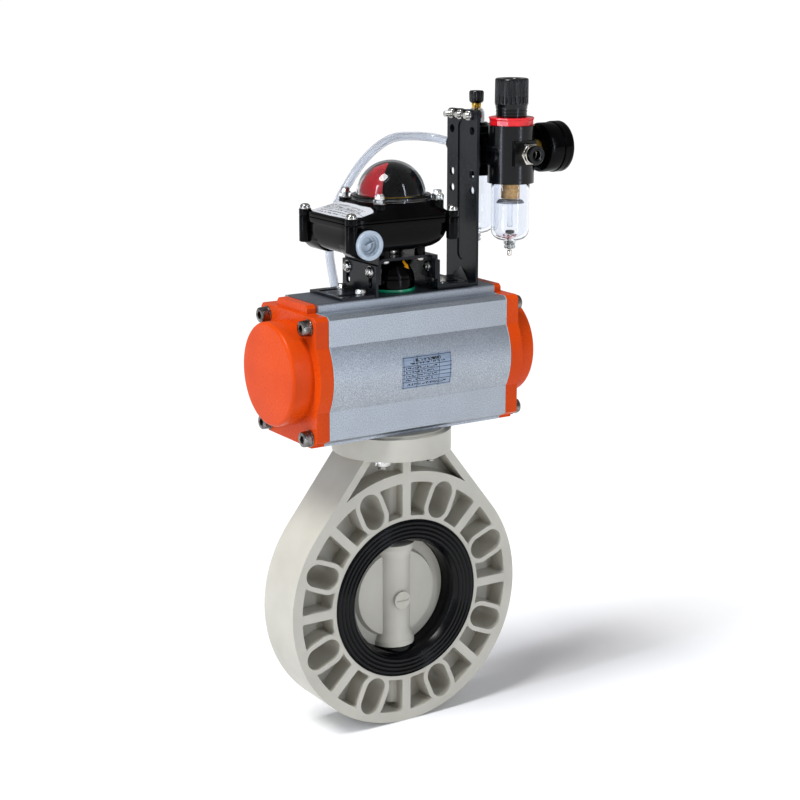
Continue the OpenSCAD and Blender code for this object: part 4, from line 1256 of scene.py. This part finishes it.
class VALVE_OT_box_label(bpy.types.Operator):
    """Printed silver label without words, lying on the left slope of the cover"""

    bl_idname = "valve.box_label"
    bl_label = "Box label"

    def execute(self, context):
        cover = bpy.data.objects["box_cover_shell"]
        half = [(-60.5, -29), (-50, -34.5), (-37, -32.5), (-35.5, -24), (-38.4, -14)]
        corners = [*half, (-39, 0), *[(x, -y) for x, y in half[::-1]], (-61.5, 0)]
        radii = [3, 3, 3, 2, 8, 40, 8, 2, 3, 3, 3, 40]
        outline = divided(fillet(corners, radii, 4, closed=True), 3.0)
        middle_point = np.array([-49.0, 0.0])
        rings = []
        for lift, scales in ((0.06, np.linspace(0, 1, 12)[1:]), (0.3, np.linspace(1, 0, 12)[:-1])):
            for k in scales:
                flat = middle_point + (outline - middle_point) * k
                rings.append(np.c_[flat, np.array([height_on(cover, x, y) for x, y in flat]) + lift])
        dashes = [((-58, -54.5, -51), (-24, 24), 0.8), ((-47, -43.5), (-27, 27), 1.2)]
        shades = ("#c3c5c9", "#dcdee2")
        foil = printed_foil("Printed label foil", (-49,), (), dashes, ("Y", "X"), shades, 0.1)
        build("box_label_foil", [loft(rings)], "frame", foil, slot="plate_foil", smooth=60)
        return {"FINISHED"}


class VALVE_OT_box_screws(bpy.types.Operator):
    """Cover, dome and standoff screws"""

    bl_idname = "valve.box_screws"
    bl_label = "Box screws"

    def execute(self, context):
        pan = pan_head(4.4, 3.9, 2.25, 20)
        parts = at_places(pan, [(x, y, 340.3) for x, y in EARS])
        parts += at_places(tube(4.9, 2.3, -0.02, 0.5, edge=0.15), [(x, y, 339.98) for x, y in EARS])
        parts += at_places(hex_screw(7, 3.9, 2.25, 12, washer=4.6), [(x, y, 352.6) for x, y in DOME_EARS])
        parts += at_places(pan_head(4.2, 3.1, 2.25, 9), [(x, y, 299) for x, y in FEET], "-z")
        build("box_screws_steel", parts, "frame", cached(stainless_steel), ("box_screws",))
        return {"FINISHED"}


def sector(r0, r1, start, z_low, steps=24, arcs=28):
    """Quarter of a spherical shell about the dome's centre: a band profile carried through 90 degrees."""
    low0, low1 = (math.asin((z_low - DOME_Z) / r) for r in (r0, r1))
    up = np.linspace(0, 1, arcs)[:, None]
    tilt1 = low1 + (math.pi / 2 - low1) * up
    tilt0 = low0 + (math.pi / 2 - low0) * up[::-1]
    profile = np.concatenate([np.c_[r1 * np.cos(tilt1), DOME_Z + r1 * np.sin(tilt1)],
                              np.c_[r0 * np.cos(tilt0), DOME_Z + r0 * np.sin(tilt0)]])
    rings = []
    for a in np.radians(start + np.linspace(0.3, 89.7, steps)):
        rings.append(np.stack([profile[:, 0] * np.cos(a), profile[:, 0] * np.sin(a), profile[:, 1]], 1))
    return loft(rings)


class VALVE_OT_indicator(bpy.types.Operator):
    """Clear dome with its flange, black mask quarters, coloured sectors, shaft and cams"""

    bl_idname = "valve.indicator"
    bl_label = "Dome indicator"

    def execute(self, context):
        outer, inner = 29.7, 28.25
        arc = np.linspace(math.asin(1.4 / outer), math.pi / 2, 40)
        shell = np.c_[outer * np.cos(arc), DOME_Z + outer * np.sin(arc)]
        back = np.linspace(math.pi / 2, 0.03, 40)
        hollow = np.c_[inner * np.cos(back), DOME_Z + inner * np.sin(back)]
        flange = [(27.6, 348.5), (34.5, 348.5), (34.5, 351.2), (33.4, 352.3), (31.4, 352.3), (30.9, 352.9)]
        flange = fillet(flange, [0, 0.5, 0.5, 0.4, 0.3, 0], 3)
        profile = np.concatenate([flange, shell, hollow, [(27.6, 350.2)]])
        clear = clear_plastic("Clear polycarbonate", "#f4f7fa", 0.02, 1.3)
        shell = revolve(profile, steps=120)
        dome = build("dome_shell", [shell], "frame", clear, ("indicator_dome",), smooth=50)
        carved(dome, [rod(5.5, 348.5, 352.5, at=(x, y, 0), edge=0.5) for x, y in DOME_EARS], "UNION")
        carved(dome, [rod(2.35, 340, 360, at=(x, y, 0), edge=0.0) for x, y in DOME_EARS])
        sets = (
            ("indicator_mask", "mask_quarters", "frame", 27.4, 28.05, -138, 352.0, black_mask()),
            ("indicator_red", "closed_sectors", "stem_group", 25.6, 27.0, -48, 350.8,
             gloss_plastic("Red moulded sector", looks().sector_red, "#a30d18")),
            ("indicator_yellow", "open_sectors", "stem_group", 25.6, 27.0, -138, 350.8,
             gloss_plastic("Yellow moulded sector", looks().sector_yellow, "#dba50e")),
        )
        for node, name, body, r0, r1, start, low, finish in sets:
            quarters = [sector(r0, r1, start, low), sector(r0, r1, start + 180, low)]
            build(name, quarters, body, finish, (node,), smooth=50)
        dress(cached(stainless_steel), "switch_shaft")
        dress(cached(acetal), "switch_cams")
        dress(cached(black_nylon), "micro_switches")
        return {"FINISHED"}


class VALVE_OT_conduit_plugs(bpy.types.Operator):
    """Blanking plugs: a flat ring, a stepped cup and one thin web"""

    bl_idname = "valve.conduit_plugs"
    bl_label = "Conduit plugs"

    def execute(self, context):
        profile = [(0, -8.5), (9.5, -8.5), (9.5, 0), (12.2, 0), (12.2, 4), (9.4, 4), (8.7, 3.3), (8.7, 1.4),
                   (7.5, 0.9), (7.2, -1.6), (5.8, -2.1), (5.5, -3.9), (0, -4.1)]
        cup = turned(profile, [0, 0.5, 0.2, 0.3, 0.6, 0.4, 0.4, 0.3, 0.4, 0.5, 0.4, 0.6, 0], steps=96)
        web = block((-0.5, -0.5, -5), (7.5, 0.5, -1.0), 0.2)
        parts = []
        for y, axis in ((-42, "-y"), (42, "y")):
            at = [(ENTRY_X, y, ENTRY_Z)]
            parts += at_places(cup, at, axis) + at_places((spun(web[0], 20), web[1]), at, axis)
        natural = cached(plug_polyethylene)
        build("conduit_plug_pair", parts, "frame", natural, ("conduit_plugs",), smooth=40)
        return {"FINISHED"}


# ---------- air unit ----------

# The two modules stand at UNIT_X, at minus and plus UNIT_Y; then heights of clamp bolts, gauge and ports.
UNIT_X = 105.0
UNIT_Y = 26.0
CLAMP_Z = 415
GAUGE_Z = 385.7
PORT_Z = 384


class VALVE_OT_air_bracket(bpy.types.Operator):
    """Upright bent plate, module clamp and its bolts"""

    bl_idname = "valve.air_bracket"
    bl_label = "Air unit bracket"

    def execute(self, context):
        rounded_copy("air_bracket", 0.5, cached(black_powder))
        rounded_copy("module_clamp", 0.7, cached(cast_black))
        parts = []
        for y, tip in ((-12.7, 65.5), (0, 65.5), (12.6, 62.5)):
            parts += at_places(hex_screw(8, 3.5, 2.5, 3), [(77.5, y, CLAMP_Z)], "x")
            parts.append(revolve(thread_profile(2.5, tip, 78, 0.9), "x", (0, y, CLAMP_Z), 24))
            parts += at_places(hex_nut(8, 3.6, 2.55), [(72, y, CLAMP_Z)], "-x")
        build("clamp_bolts_steel", parts, "frame", cached(stainless_steel), ("clamp_bolts",))
        return {"FINISHED"}


class VALVE_OT_regulator(bpy.types.Operator):
    """Cast regulator and lubricator bodies, ribbed knob, red lock ring and small oil knob"""

    bl_idname = "valve.regulator"
    bl_label = "Regulator and lubricator"

    def execute(self, context):
        casting = cached(cast_black)
        rounded_copy("regulator_body", 0.9, casting)
        rounded_copy("lubricator_body", 0.9, casting)
        dress(cached(stainless_steel), "regulator_spindle")
        ribs = looks().knob_ribs

        def grip(angle, z):
            """Flat-topped ribs: a softened square wave round the knob above its neck."""
            wave = np.tanh(2.6 * np.cos(ribs * angle))
            fade = np.clip((z - 425.2) / 1.2, 0, 1) * np.clip((444.6 - z) / 1.2, 0, 1)
            return 1 + (0.028 * wave - 0.024) * fade

        outer = [(12.6, 413.7), (13.2, 413.9), (13.3, 414.4), (13.3, 416.0), (12.9, 416.3), (12.9, 416.9),
                 (13.4, 417.2), (13.4, 419.0), (12.9, 419.3), (12.9, 419.9), (13.5, 420.2), (13.6, 422.6),
                 (14.1, 423.6), (14.35, 424.4), (14.35, 425.2), (14.35, 426.4), (14.35, 432), (14.3, 438),
                 (14.3, 443.4), (14.25, 444.6), (13.9, 445.4), (13.2, 445.8), (8.2, 445.8), (7.6, 445.4),
                 (7.2, 444.2), (0, 444.2)]
        inner = [(0, 441.9), (4.05, 441.9), (4.05, 423.6), (12.5, 423.6)]
        knob = revolve(np.array(outer + inner), at=(UNIT_X, -UNIT_Y, 0), steps=16 * ribs, wave=grip)
        nylon = cached(black_nylon)
        build("regulator_knob_grip", [knob], "regulator_knob", nylon, ("regulator_knob",), smooth=50)

        ring_rows = [(36.0, 406.5), (36.6, 406.9), (36.6, 410.9), (37.0, 411.4), (37.9, 411.8), (37.9, 413.0),
                     (37.3, 413.3)]
        rings = [hex_ring(across_flats, z, 144, 12) for across_flats, z in ring_rows]
        rings += [circle_ring(14.0, 413.3, 144), circle_ring(13.4, 412.8, 144), circle_ring(12.6, 412.4, 144),
                  circle_ring(12.6, 406.5, 144)]
        points = spun(np.concatenate(rings), 15) + [UNIT_X, -UNIT_Y, 0]
        ring = (points, grid_faces(len(rings), 144, wrap_rows=True))
        red = gloss_plastic("Red moulded ring", looks().ring_red, "#c0151d")
        build("lock_ring_red", [ring], "frame", red, ("lock_ring",), smooth=18)

        def knurl(angle, z):
            """Fine grip ribs on the small knob."""
            return 1 + 0.03 * np.tanh(2 * np.cos(18 * angle)) * np.clip((z - 423) / 0.6, 0, 1) * (z < 431.2)

        cap = [(0, 421.6), (4.6, 421.6), (5.6, 422.2), (6.0, 423.0), (6.15, 423.8), (6.3, 430.6),
               (6.2, 431.4), (5.7, 432.1), (5.0, 432.3), (1.6, 432.3), (1.3, 431.9), (0, 431.9)]
        small = revolve(np.array(cap), at=(UNIT_X, UNIT_Y, 0), steps=180, wave=knurl)
        spindle = rod(2.0, 405, 422, at=(UNIT_X, UNIT_Y, 0))
        neck = revolve(fillet([(2.0, 417.3), (4.2, 417.3), (4.2, 421.6), (2.0, 421.6)], 0.25, 2, closed=True),
                       at=(UNIT_X, UNIT_Y, 0), steps=48)
        build("oil_knob_grip", [small, spindle], "oil_knob", nylon, ("oil_knob",))
        build("oil_knob_neck", [neck], "oil_knob", cached(turned_brass), slot="bronze")
        dome = [(5.3, 400.2), (7.45, 400.2), (7.45, 410.5), (7.2, 413.6), (6.0, 416.2), (4.4, 417),
                (2.1, 417), (2.1, 415.2), (4.2, 414.6), (5.3, 412.2)]
        clear = cached(bowl_plastic)
        build("sight_dome_shell", [revolve(np.array(dome), at=(UNIT_X, UNIT_Y, 0), steps=72)], "frame", clear,
              ("sight_dome",), smooth=60)
        return {"FINISHED"}


def bowl_profile(top):
    """Bowl wall up to a given top: a round-bottomed cup on a nipple."""
    turn = np.linspace(0, math.pi / 2, 12)
    outer = [(2.15, 300.5), (4.5, 300.5), (5.0, 301.0), (5.0, 302.6), (4.4, 303.0), (4.4, 304.0),
             (5.2, 304.6), (5.2, 306.6), (5.8, 308.0)]
    outer += [(7.5 + 9 * math.sin(a), 317 - 9 * math.cos(a)) for a in turn]
    outer += [(16.5, top - 12), (16.5, top - 0.4), (16.1, top)]
    inner = [(14.7, top), (14.5, top - 0.4), (14.5, top - 12)]
    inner += [(7.5 + 7 * math.sin(a), 317.5 - 7 * math.cos(a)) for a in turn[::-1]]
    inner += [(5.0, 310.5), (2.15, 310.5)]
    return np.array(outer + inner)


class VALVE_OT_bowls(bpy.types.Operator):
    """Clear bowls, the bronze filter with its baffle, drain pin and seals"""

    bl_idname = "valve.bowls"
    bl_label = "Bowls and filter"

    def execute(self, context):
        clear = cached(bowl_plastic)
        for name, node, y, top in (("filter_bowl_shell", "filter_bowl", -UNIT_Y, 363.5),
                                   ("oil_bowl_shell", "oil_bowl", UNIT_Y, 365.9)):
            wall = revolve(bowl_profile(top), at=(UNIT_X, y, 0), steps=120)
            build(name, [wall], "frame", clear, (node,), smooth=55)
        at = (UNIT_X, -UNIT_Y, 0)
        element = turned([(0, 344), (8, 344), (8, 363.6), (0, 363.6)], [0, 0.5, 0.5, 0], at=at, steps=72)
        build("filter_cartridge", [element], "frame", cached(sintered_bronze), ("filter_element",), smooth=50)
        umbrella = [(0, 344), (2.6, 344), (3.2, 343.0), (9.5, 342.4), (11.6, 341.2), (12.0, 340.2),
                    (11.6, 340.1), (9.3, 341.2), (3.0, 341.6), (2.5, 340.6), (0, 340.4)]
        baffle = revolve(np.array(umbrella), at=at, steps=96)
        vanes = []
        for k in range(12):
            vane = block((3, -0.3, 340.9), (10.8, 0.3, 342.6), 0.12)
            vanes.append((spun(vane[0], 30 * k) + np.array(at), vane[1]))
        grey = surfaced("Grey acetal baffle", "#a9adb3", "#989ca3", 0.35, cloud=6, grain=0.6, depth=0.01)
        build("filter_baffle", [baffle, *vanes], "frame", grey, slot="clear_plastic", smooth=50)
        stem = rod(2.2, 319.5, 340.4, at=at, edge=0.3)
        build("filter_drain_tube", [stem], "frame", clear, slot="clear_plastic")
        pin = [(0, 294), (1.6, 294), (2.0, 294.5), (2.0, 298.6), (1.5, 299), (1.5, 299.8), (2.0, 300.2),
               (2.0, 313.2), (0, 313.2)]
        pin = revolve(fillet(pin, [0, 0.2, 0.2, 0.1, 0.1, 0.1, 0.1, 0.1, 0], 2), at=at, steps=32)
        build("drain_pin_turned", [pin], "drain_pin", cached(nickel_brass), ("drain_pin",))
        head = tube(4.0, 1.9, 313.0, 316.0, at=at, edge=0.6)
        build("drain_pin_seal", [head], "drain_pin", cached(epdm_rubber), slot="black_rubber")
        red = gloss_plastic("Red drain washer", looks().ring_red, "#b0131a")
        washer = tube(6.2, 5.35, 310.55, 311.1, at=at, edge=0.1)
        build("drain_washer", [washer], "frame", red, slot="red_plastic")
        return {"FINISHED"}


def on_dial(part, angle, x=0):
    """A part drawn upright round the X axis, turned clockwise from the top, then put on the gauge's axis."""
    points, faces = part
    a = math.radians(angle)
    y = points[:, 1] * math.cos(a) + points[:, 2] * math.sin(a)
    z = points[:, 2] * math.cos(a) - points[:, 1] * math.sin(a)
    return np.stack([points[:, 0] + x, y - UNIT_Y, z + GAUGE_Z], 1), faces


# The scale runs over this many degrees, with the zero half of it before the top.
DIAL_SWEEP = 270


class VALVE_OT_gauge(bpy.types.Operator):
    """Pressure gauge: banded case, white dial with ticks, lens and pointer"""

    bl_idname = "valve.gauge"
    bl_label = "Pressure gauge"

    def execute(self, context):
        at = (0, -UNIT_Y, GAUGE_Z)
        x0, x1 = UNIT_X + 28, UNIT_X + 52
        case = [(0, x0), (17.5, x0), (20.4, x0 + 0.7), (21.2, x0 + 2.4), (21.2, x1 - 10.2), (20.8, x1 - 9.8),
                (20.8, x1 - 9.3), (21.9, x1 - 8.9), (22, x1 - 8.2), (22, x1 - 4.6), (21.5, x1 - 4.2),
                (21.5, x1 - 3.8), (22, x1 - 3.4), (22, x1 - 0.9), (21.5, x1 - 0.2), (20.8, x1),
                (20.0, x1 - 0.2), (19.5, x1 - 0.8), (19.5, x1 - 6), (0, x1 - 6)]
        shell = revolve(np.array(case), "x", at, 128)
        build("gauge_case_black", [shell], "frame", cached(black_lacquer), ("gauge_case",), smooth=40)
        profile = [(0, x1 - 2.5), (19.35, x1 - 2.5), (19.35, x1 - 0.9), (0, x1 - 0.9)]
        lens = revolve(fillet(profile, [0, 0.3, 0.3, 0], 2), "x", at, 96)
        window = clear_plastic("Clear gauge window", "#fbfcfd", 0.01, 1.49)
        build("gauge_window", [lens], "frame", window, ("gauge_lens",))
        plate = rod(19.3, x1 - 5.9, x1 - 5.5, "x", at, 0, 96)
        white = surfaced("White enamelled dial", "#f2f2ee", "#e9e9e4", 0.5, cloud=8, grain=0.8, depth=0.005)
        build("gauge_dial", [plate], "frame", white, slot="plate_foil")
        marks_count, long_every = 50, 5
        ticks = []
        for k in range(marks_count + 1):
            half_width, foot = (0.28, 13.0) if k % long_every == 0 else (0.14, 15.0)
            tick = block((x1 - 5.52, -half_width, foot), (x1 - 5.44, half_width, 17.4), 0.03)
            ticks.append(on_dial(tick, DIAL_SWEEP * (0.5 - k / marks_count)))
        build("gauge_ticks", ticks, "frame", cached(black_nylon), slot="black_plastic")
        outline = [(-0.9, -5), (0.9, -5), (0.35, 14), (-0.35, 14)]
        outline = fillet(outline, [0.4, 0.4, 0.1, 0.1], 3, closed=True)
        points, faces = prism(outline, 0.1, 0.8, 0.1)
        hand = on_dial((points[:, [2, 0, 1]], faces), -DIAL_SWEEP / 2, x1 - 4.9)
        hub = rod(2, x1 - 5.2, x1 - 3.4, "x", at, 0.3, 32)
        red = gloss_plastic("Red painted hand", looks().ring_red, "#b0131a")
        build("gauge_hand", [hand, hub], "gauge_pointer", red, ("gauge_pointer",))
        return {"FINISHED"}


def fitting_shell():
    """Hollow push-in fitting: threaded end, hexagon nut and round socket, standing on its face."""
    hexagon_rows = ((16.2, 0.0), (17, 0.5), (17, 7.4), (16.2, 7.9))
    rings = [circle_ring(3, -9), circle_ring(6.4, -9), circle_ring(6.4, 0)]
    rings += [hex_ring(across_flats, z) for across_flats, z in hexagon_rows]
    socket = ((7.9, 8.0), (7.9, 10.4), (7.4, 11), (5.05, 11), (5.05, 8), (4.05, 8), (4.05, 0), (3, 0))
    rings += [circle_ring(radius, z) for radius, z in socket]
    return np.concatenate(rings), grid_faces(len(rings), len(rings[0]), wrap_rows=True)


def release_collar(z):
    """Collar that is pressed to free the tube, its sleeve starting at a height in the fitting."""
    profile = [(4.05, z), (5, z), (5, z + 4), (7.6, z + 4), (7.9, z + 4.3), (7.9, z + 5.8),
               (7.5, z + 6.2), (5.4, z + 6.2), (4.8, z + 5.4), (4.05, z + 5.2)]
    return revolve(np.array(profile), steps=64)


# Face of the ports from the pipe axis, the drop fitting on the pilot valve, and the two silencers.
PORT_FACE = UNIT_Y + 21.5
DROP = (-14, 69, 230)
SILENCER_X = 16
# Collar starts: pushed fully in on the tube, and out on the empty inlet.
COLLAR_IN = 8.3
COLLAR_OUT = 9.8


class VALVE_OT_fittings(bpy.types.Operator):
    """Push-in fittings, brass gauge stem, exhaust silencers and the inlet's release collar"""

    bl_idname = "valve.fittings"
    bl_label = "Air fittings"

    def execute(self, context):
        shells, collars = [], []
        for at, axis, with_tube in (((UNIT_X, -PORT_FACE, PORT_Z), "-y", False),
                                    ((UNIT_X, PORT_FACE, PORT_Z), "y", True), (DROP, "z", True)):
            shells += at_places(fitting_shell(), [at], axis)
            if with_tube:
                collars += at_places(release_collar(COLLAR_IN), [at], axis)
        build("air_fitting_shells", shells, "frame", cached(nickel_brass), ("air_fittings",))
        build("fitting_collars", collars, "frame", cached(black_nylon), slot="black_plastic")
        inlet = at_places(release_collar(COLLAR_OUT), [(UNIT_X, -PORT_FACE, PORT_Z)], "-y")
        build("inlet_collar_ring", inlet, "inlet_collar", cached(black_nylon), ("inlet_collar",))
        rings = [circle_ring(6.1, 0), hex_ring(13, 0.5), hex_ring(13, 5.9), circle_ring(6.1, 6.3),
                 circle_ring(7, 6.4), circle_ring(7, 7.4)]
        brass = [rod(5, UNIT_X + 15, UNIT_X + 25, "x", (0, -UNIT_Y, GAUGE_Z))]
        brass += at_places(loft(rings), [(UNIT_X + 20.6, -UNIT_Y, GAUGE_Z)], "x")
        build("gauge_stem_brass", brass, "frame", cached(turned_brass), slot="bronze")
        profile = [(0, 176), (3.5, 176), (5.6, 177), (6.4, 179), (6.5, 189.6), (6.0, 191), (5, 191),
                   (5, 200), (0, 200)]
        profile = fillet(profile, [0, 0.8, 0.8, 0.8, 0.4, 0.2, 0.1, 0.3, 0], 2)
        silencers = [revolve(profile, at=(x, DROP[1], 0)) for x in (-SILENCER_X, SILENCER_X)]
        build("exhaust_silencers", silencers, "frame", cached(sintered_bronze), slot="bronze", smooth=45)
        return {"FINISHED"}


# ---------- air tube and pilot valve ----------

# Route of the air tube in metres: out of the outlet, over in a wide arc and down behind the actuator.
TUBE_ROUTE = [
    (0.105, 0.044, 0.384), (0.105, 0.052, 0.384), (0.105, 0.062, 0.384), (0.104, 0.074, 0.385),
    (0.098, 0.087, 0.387), (0.084, 0.097, 0.388), (0.066, 0.1, 0.387), (0.047, 0.097, 0.38),
    (0.028, 0.092, 0.368), (0.011, 0.087, 0.352), (-0.003, 0.084, 0.334), (-0.012, 0.081, 0.312),
    (-0.015, 0.077, 0.29), (-0.014, 0.072, 0.268), (-0.014, 0.069, 0.252), (-0.014, 0.069, 0.244),
    (-0.014, 0.069, 0.236), (-0.014, 0.069, 0.228),
]
TUBE_RADIUS = 4.0
TUBE_BORE = 2.6


def smooth_route(points, steps):
    """Catmull-Rom curve through all but the first and last point of a route."""
    points = np.array(points)
    a, b, c, d = points[:-3, None], points[1:-2, None], points[2:-1, None], points[3:, None]
    t = np.arange(steps)[None, :, None] / steps
    curve = 0.5 * (2 * b + (c - a) * t + (2 * a - 5 * b + 4 * c - d) * t**2 + (3 * b - a - 3 * c + d) * t**3)
    return np.concatenate([curve.reshape(-1, 3), points[-2:-1]])


class VALVE_OT_air_tube(bpy.types.Operator):
    """Clear polyurethane air tube: a hollow tube swept along its route"""

    bl_idname = "valve.air_tube"
    bl_label = "Air tube"

    def execute(self, context):
        line = smooth_route(TUBE_ROUTE, 8)
        sides = 28
        outer = swept(line / MM, TUBE_RADIUS, sides)
        inner = swept(line / MM, TUBE_BORE, sides)
        rings = np.concatenate([outer, inner[::-1]])
        tube_mesh = (rings.reshape(-1, 3), grid_faces(len(rings), sides, wrap_rows=True))
        piece = build("air_tube_clear", [tube_mesh], "frame", cached(tube_plastic), ("air_tube",), smooth=60)
        return {"FINISHED"}


class VALVE_OT_pilot_valve(bpy.types.Operator):
    """Pilot valve block, its coil and plug, and the manual override button"""

    bl_idname = "valve.pilot_valve"
    bl_label = "Pilot valve"

    def execute(self, context):
        rounded_copy("pilot_valve", 0.8, cached(machined_alloy))
        rounded_copy("pilot_coil", 0.9, cached(black_nylon))
        dress(cached(turned_brass), "override_button")
        return {"FINISHED"}


# ---------- stage ----------


# Point that the camera aims at, in metres, and half the floor's side.
AIM = Vector((0.00894, 0.0, 0.1723))
FLOOR_HALF = 400.0
# Strip lights: name, distance to the right of the camera's line, width in metres and power in watts.
STRIPS = (("Left box", -1.5, 0.1, 16), ("Right box", 1.3, 0.08, 11))


def area_light(name, place, size, power, tint):
    """A soft box that faces the point that the camera aims at."""
    light = bpy.data.lights.new(name, "AREA")
    light.shape = "RECTANGLE"
    light.size, light.size_y = size
    light.energy = power
    light.color = linear(tint)
    lamp = bpy.data.objects.new(name, light)
    lamp.location = place
    lamp.rotation_euler = (place - AIM).to_track_quat("Z", "Y").to_euler()
    bpy.context.scene.collection.objects.link(lamp)


class VALVE_OT_stage(bpy.types.Operator):
    """Pale floor under the valve, soft lights and the camera"""

    bl_idname = "valve.stage"
    bl_label = "Studio"

    def execute(self, context):
        scene = context.scene
        studio = scene.valve_studio
        floor_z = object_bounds()[0][2]
        mesh = bpy.data.meshes.new("studio_floor")
        corners = ((-1, -1), (1, -1), (1, 1), (-1, 1))
        mesh.from_pydata([(x * FLOOR_HALF, y * FLOOR_HALF, floor_z) for x, y in corners], [], [(0, 1, 2, 3)])
        floor = bpy.data.objects.new("studio_floor", mesh)
        mesh.materials.append(studio_floor())
        scene.collection.objects.link(floor)
        floor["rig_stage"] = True

        world = bpy.data.worlds.new("Soft studio")
        world.use_nodes = True
        scene.world = world
        tree = world.node_tree
        tree.nodes.clear()
        sky = add(tree, "ShaderNodeBackground", {"Color": colour("#ffffff"), "Strength": 0.28})
        add(tree, "ShaderNodeOutputWorld", {"Surface": sky.outputs[0]})
        scene.view_settings.view_transform = "Standard"

        az, el = math.radians(studio.azimuth), math.radians(studio.elevation)
        back = Vector((math.sin(az) * math.cos(el), -math.cos(az) * math.cos(el), math.sin(el)))
        right = Vector((math.cos(az), math.sin(az), 0))
        camera = bpy.data.cameras.new("Studio camera")
        camera.lens = studio.lens
        camera.sensor_width = 36.0
        camera.clip_end = 2000
        holder = bpy.data.objects.new("Studio camera", camera)
        holder.location = AIM + back * studio.distance
        holder.rotation_euler = back.to_track_quat("Z", "Y").to_euler()
        scene.collection.objects.link(holder)
        scene.camera = holder

        front = Vector((back.x, back.y, 0)).normalized()
        up = Vector((0, 0, 1))
        for name, across, width, power in STRIPS:
            place = front * 1.2 + right * across + up * 0.7
            area_light(name, place, (width, 1.9), power, "#e4edff")
        overhead = bpy.data.lights.new("Overhead", "SUN")
        overhead.energy = 2.9
        overhead.angle = math.radians(24)
        lamp = bpy.data.objects.new("Overhead", overhead)
        lamp.rotation_euler = (up * 2.2 - right * 0.9 + front * 0.75).to_track_quat("Z", "Y").to_euler()
        scene.collection.objects.link(lamp)
        return {"FINISHED"}


# ---------- panel and start ----------

STEPS = [
    VALVE_OT_stage, VALVE_OT_air_tube, VALVE_OT_body, VALVE_OT_seat, VALVE_OT_disc, VALVE_OT_actuator,
    VALVE_OT_caps, VALVE_OT_nameplate, VALVE_OT_bracket, VALVE_OT_puck, VALVE_OT_box_base, VALVE_OT_box_cover,
    VALVE_OT_box_label, VALVE_OT_box_screws, VALVE_OT_indicator, VALVE_OT_conduit_plugs, VALVE_OT_air_bracket,
    VALVE_OT_regulator, VALVE_OT_bowls, VALVE_OT_gauge, VALVE_OT_fittings, VALVE_OT_pilot_valve,
]


class VALVE_PT_panel(bpy.types.Panel):
    """Lists the settings and the steps that build the valve's look"""

    bl_idname = "VALVE_PT_panel"
    bl_label = "Butterfly valve"
    bl_space_type = "VIEW_3D"
    bl_region_type = "UI"
    bl_category = "Valve"

    def draw(self, context):
        layout = self.layout
        for settings in (context.scene.valve_looks, context.scene.valve_studio):
            column = layout.column(align=True)
            for name in settings.bl_rna.properties.keys():
                if name not in ("rna_type", "name"):
                    column.prop(settings, name)
        for step in STEPS:
            layout.operator(step.bl_idname)


CLASSES = [ValveLooks, StudioLooks, *STEPS, VALVE_PT_panel]


def register():
    for item in CLASSES:
        bpy.utils.register_class(item)
    bpy.types.Scene.valve_looks = bpy.props.PointerProperty(type=ValveLooks)
    bpy.types.Scene.valve_studio = bpy.props.PointerProperty(type=StudioLooks)


def unregister():
    del bpy.types.Scene.valve_studio
    del bpy.types.Scene.valve_looks
    for item in reversed(CLASSES):
        bpy.utils.unregister_class(item)


def main():
    register()
    for step in STEPS:
        group, name = step.bl_idname.split(".")
        getattr(getattr(bpy.ops, group), name)()


if __name__ == "__main__":
    main()
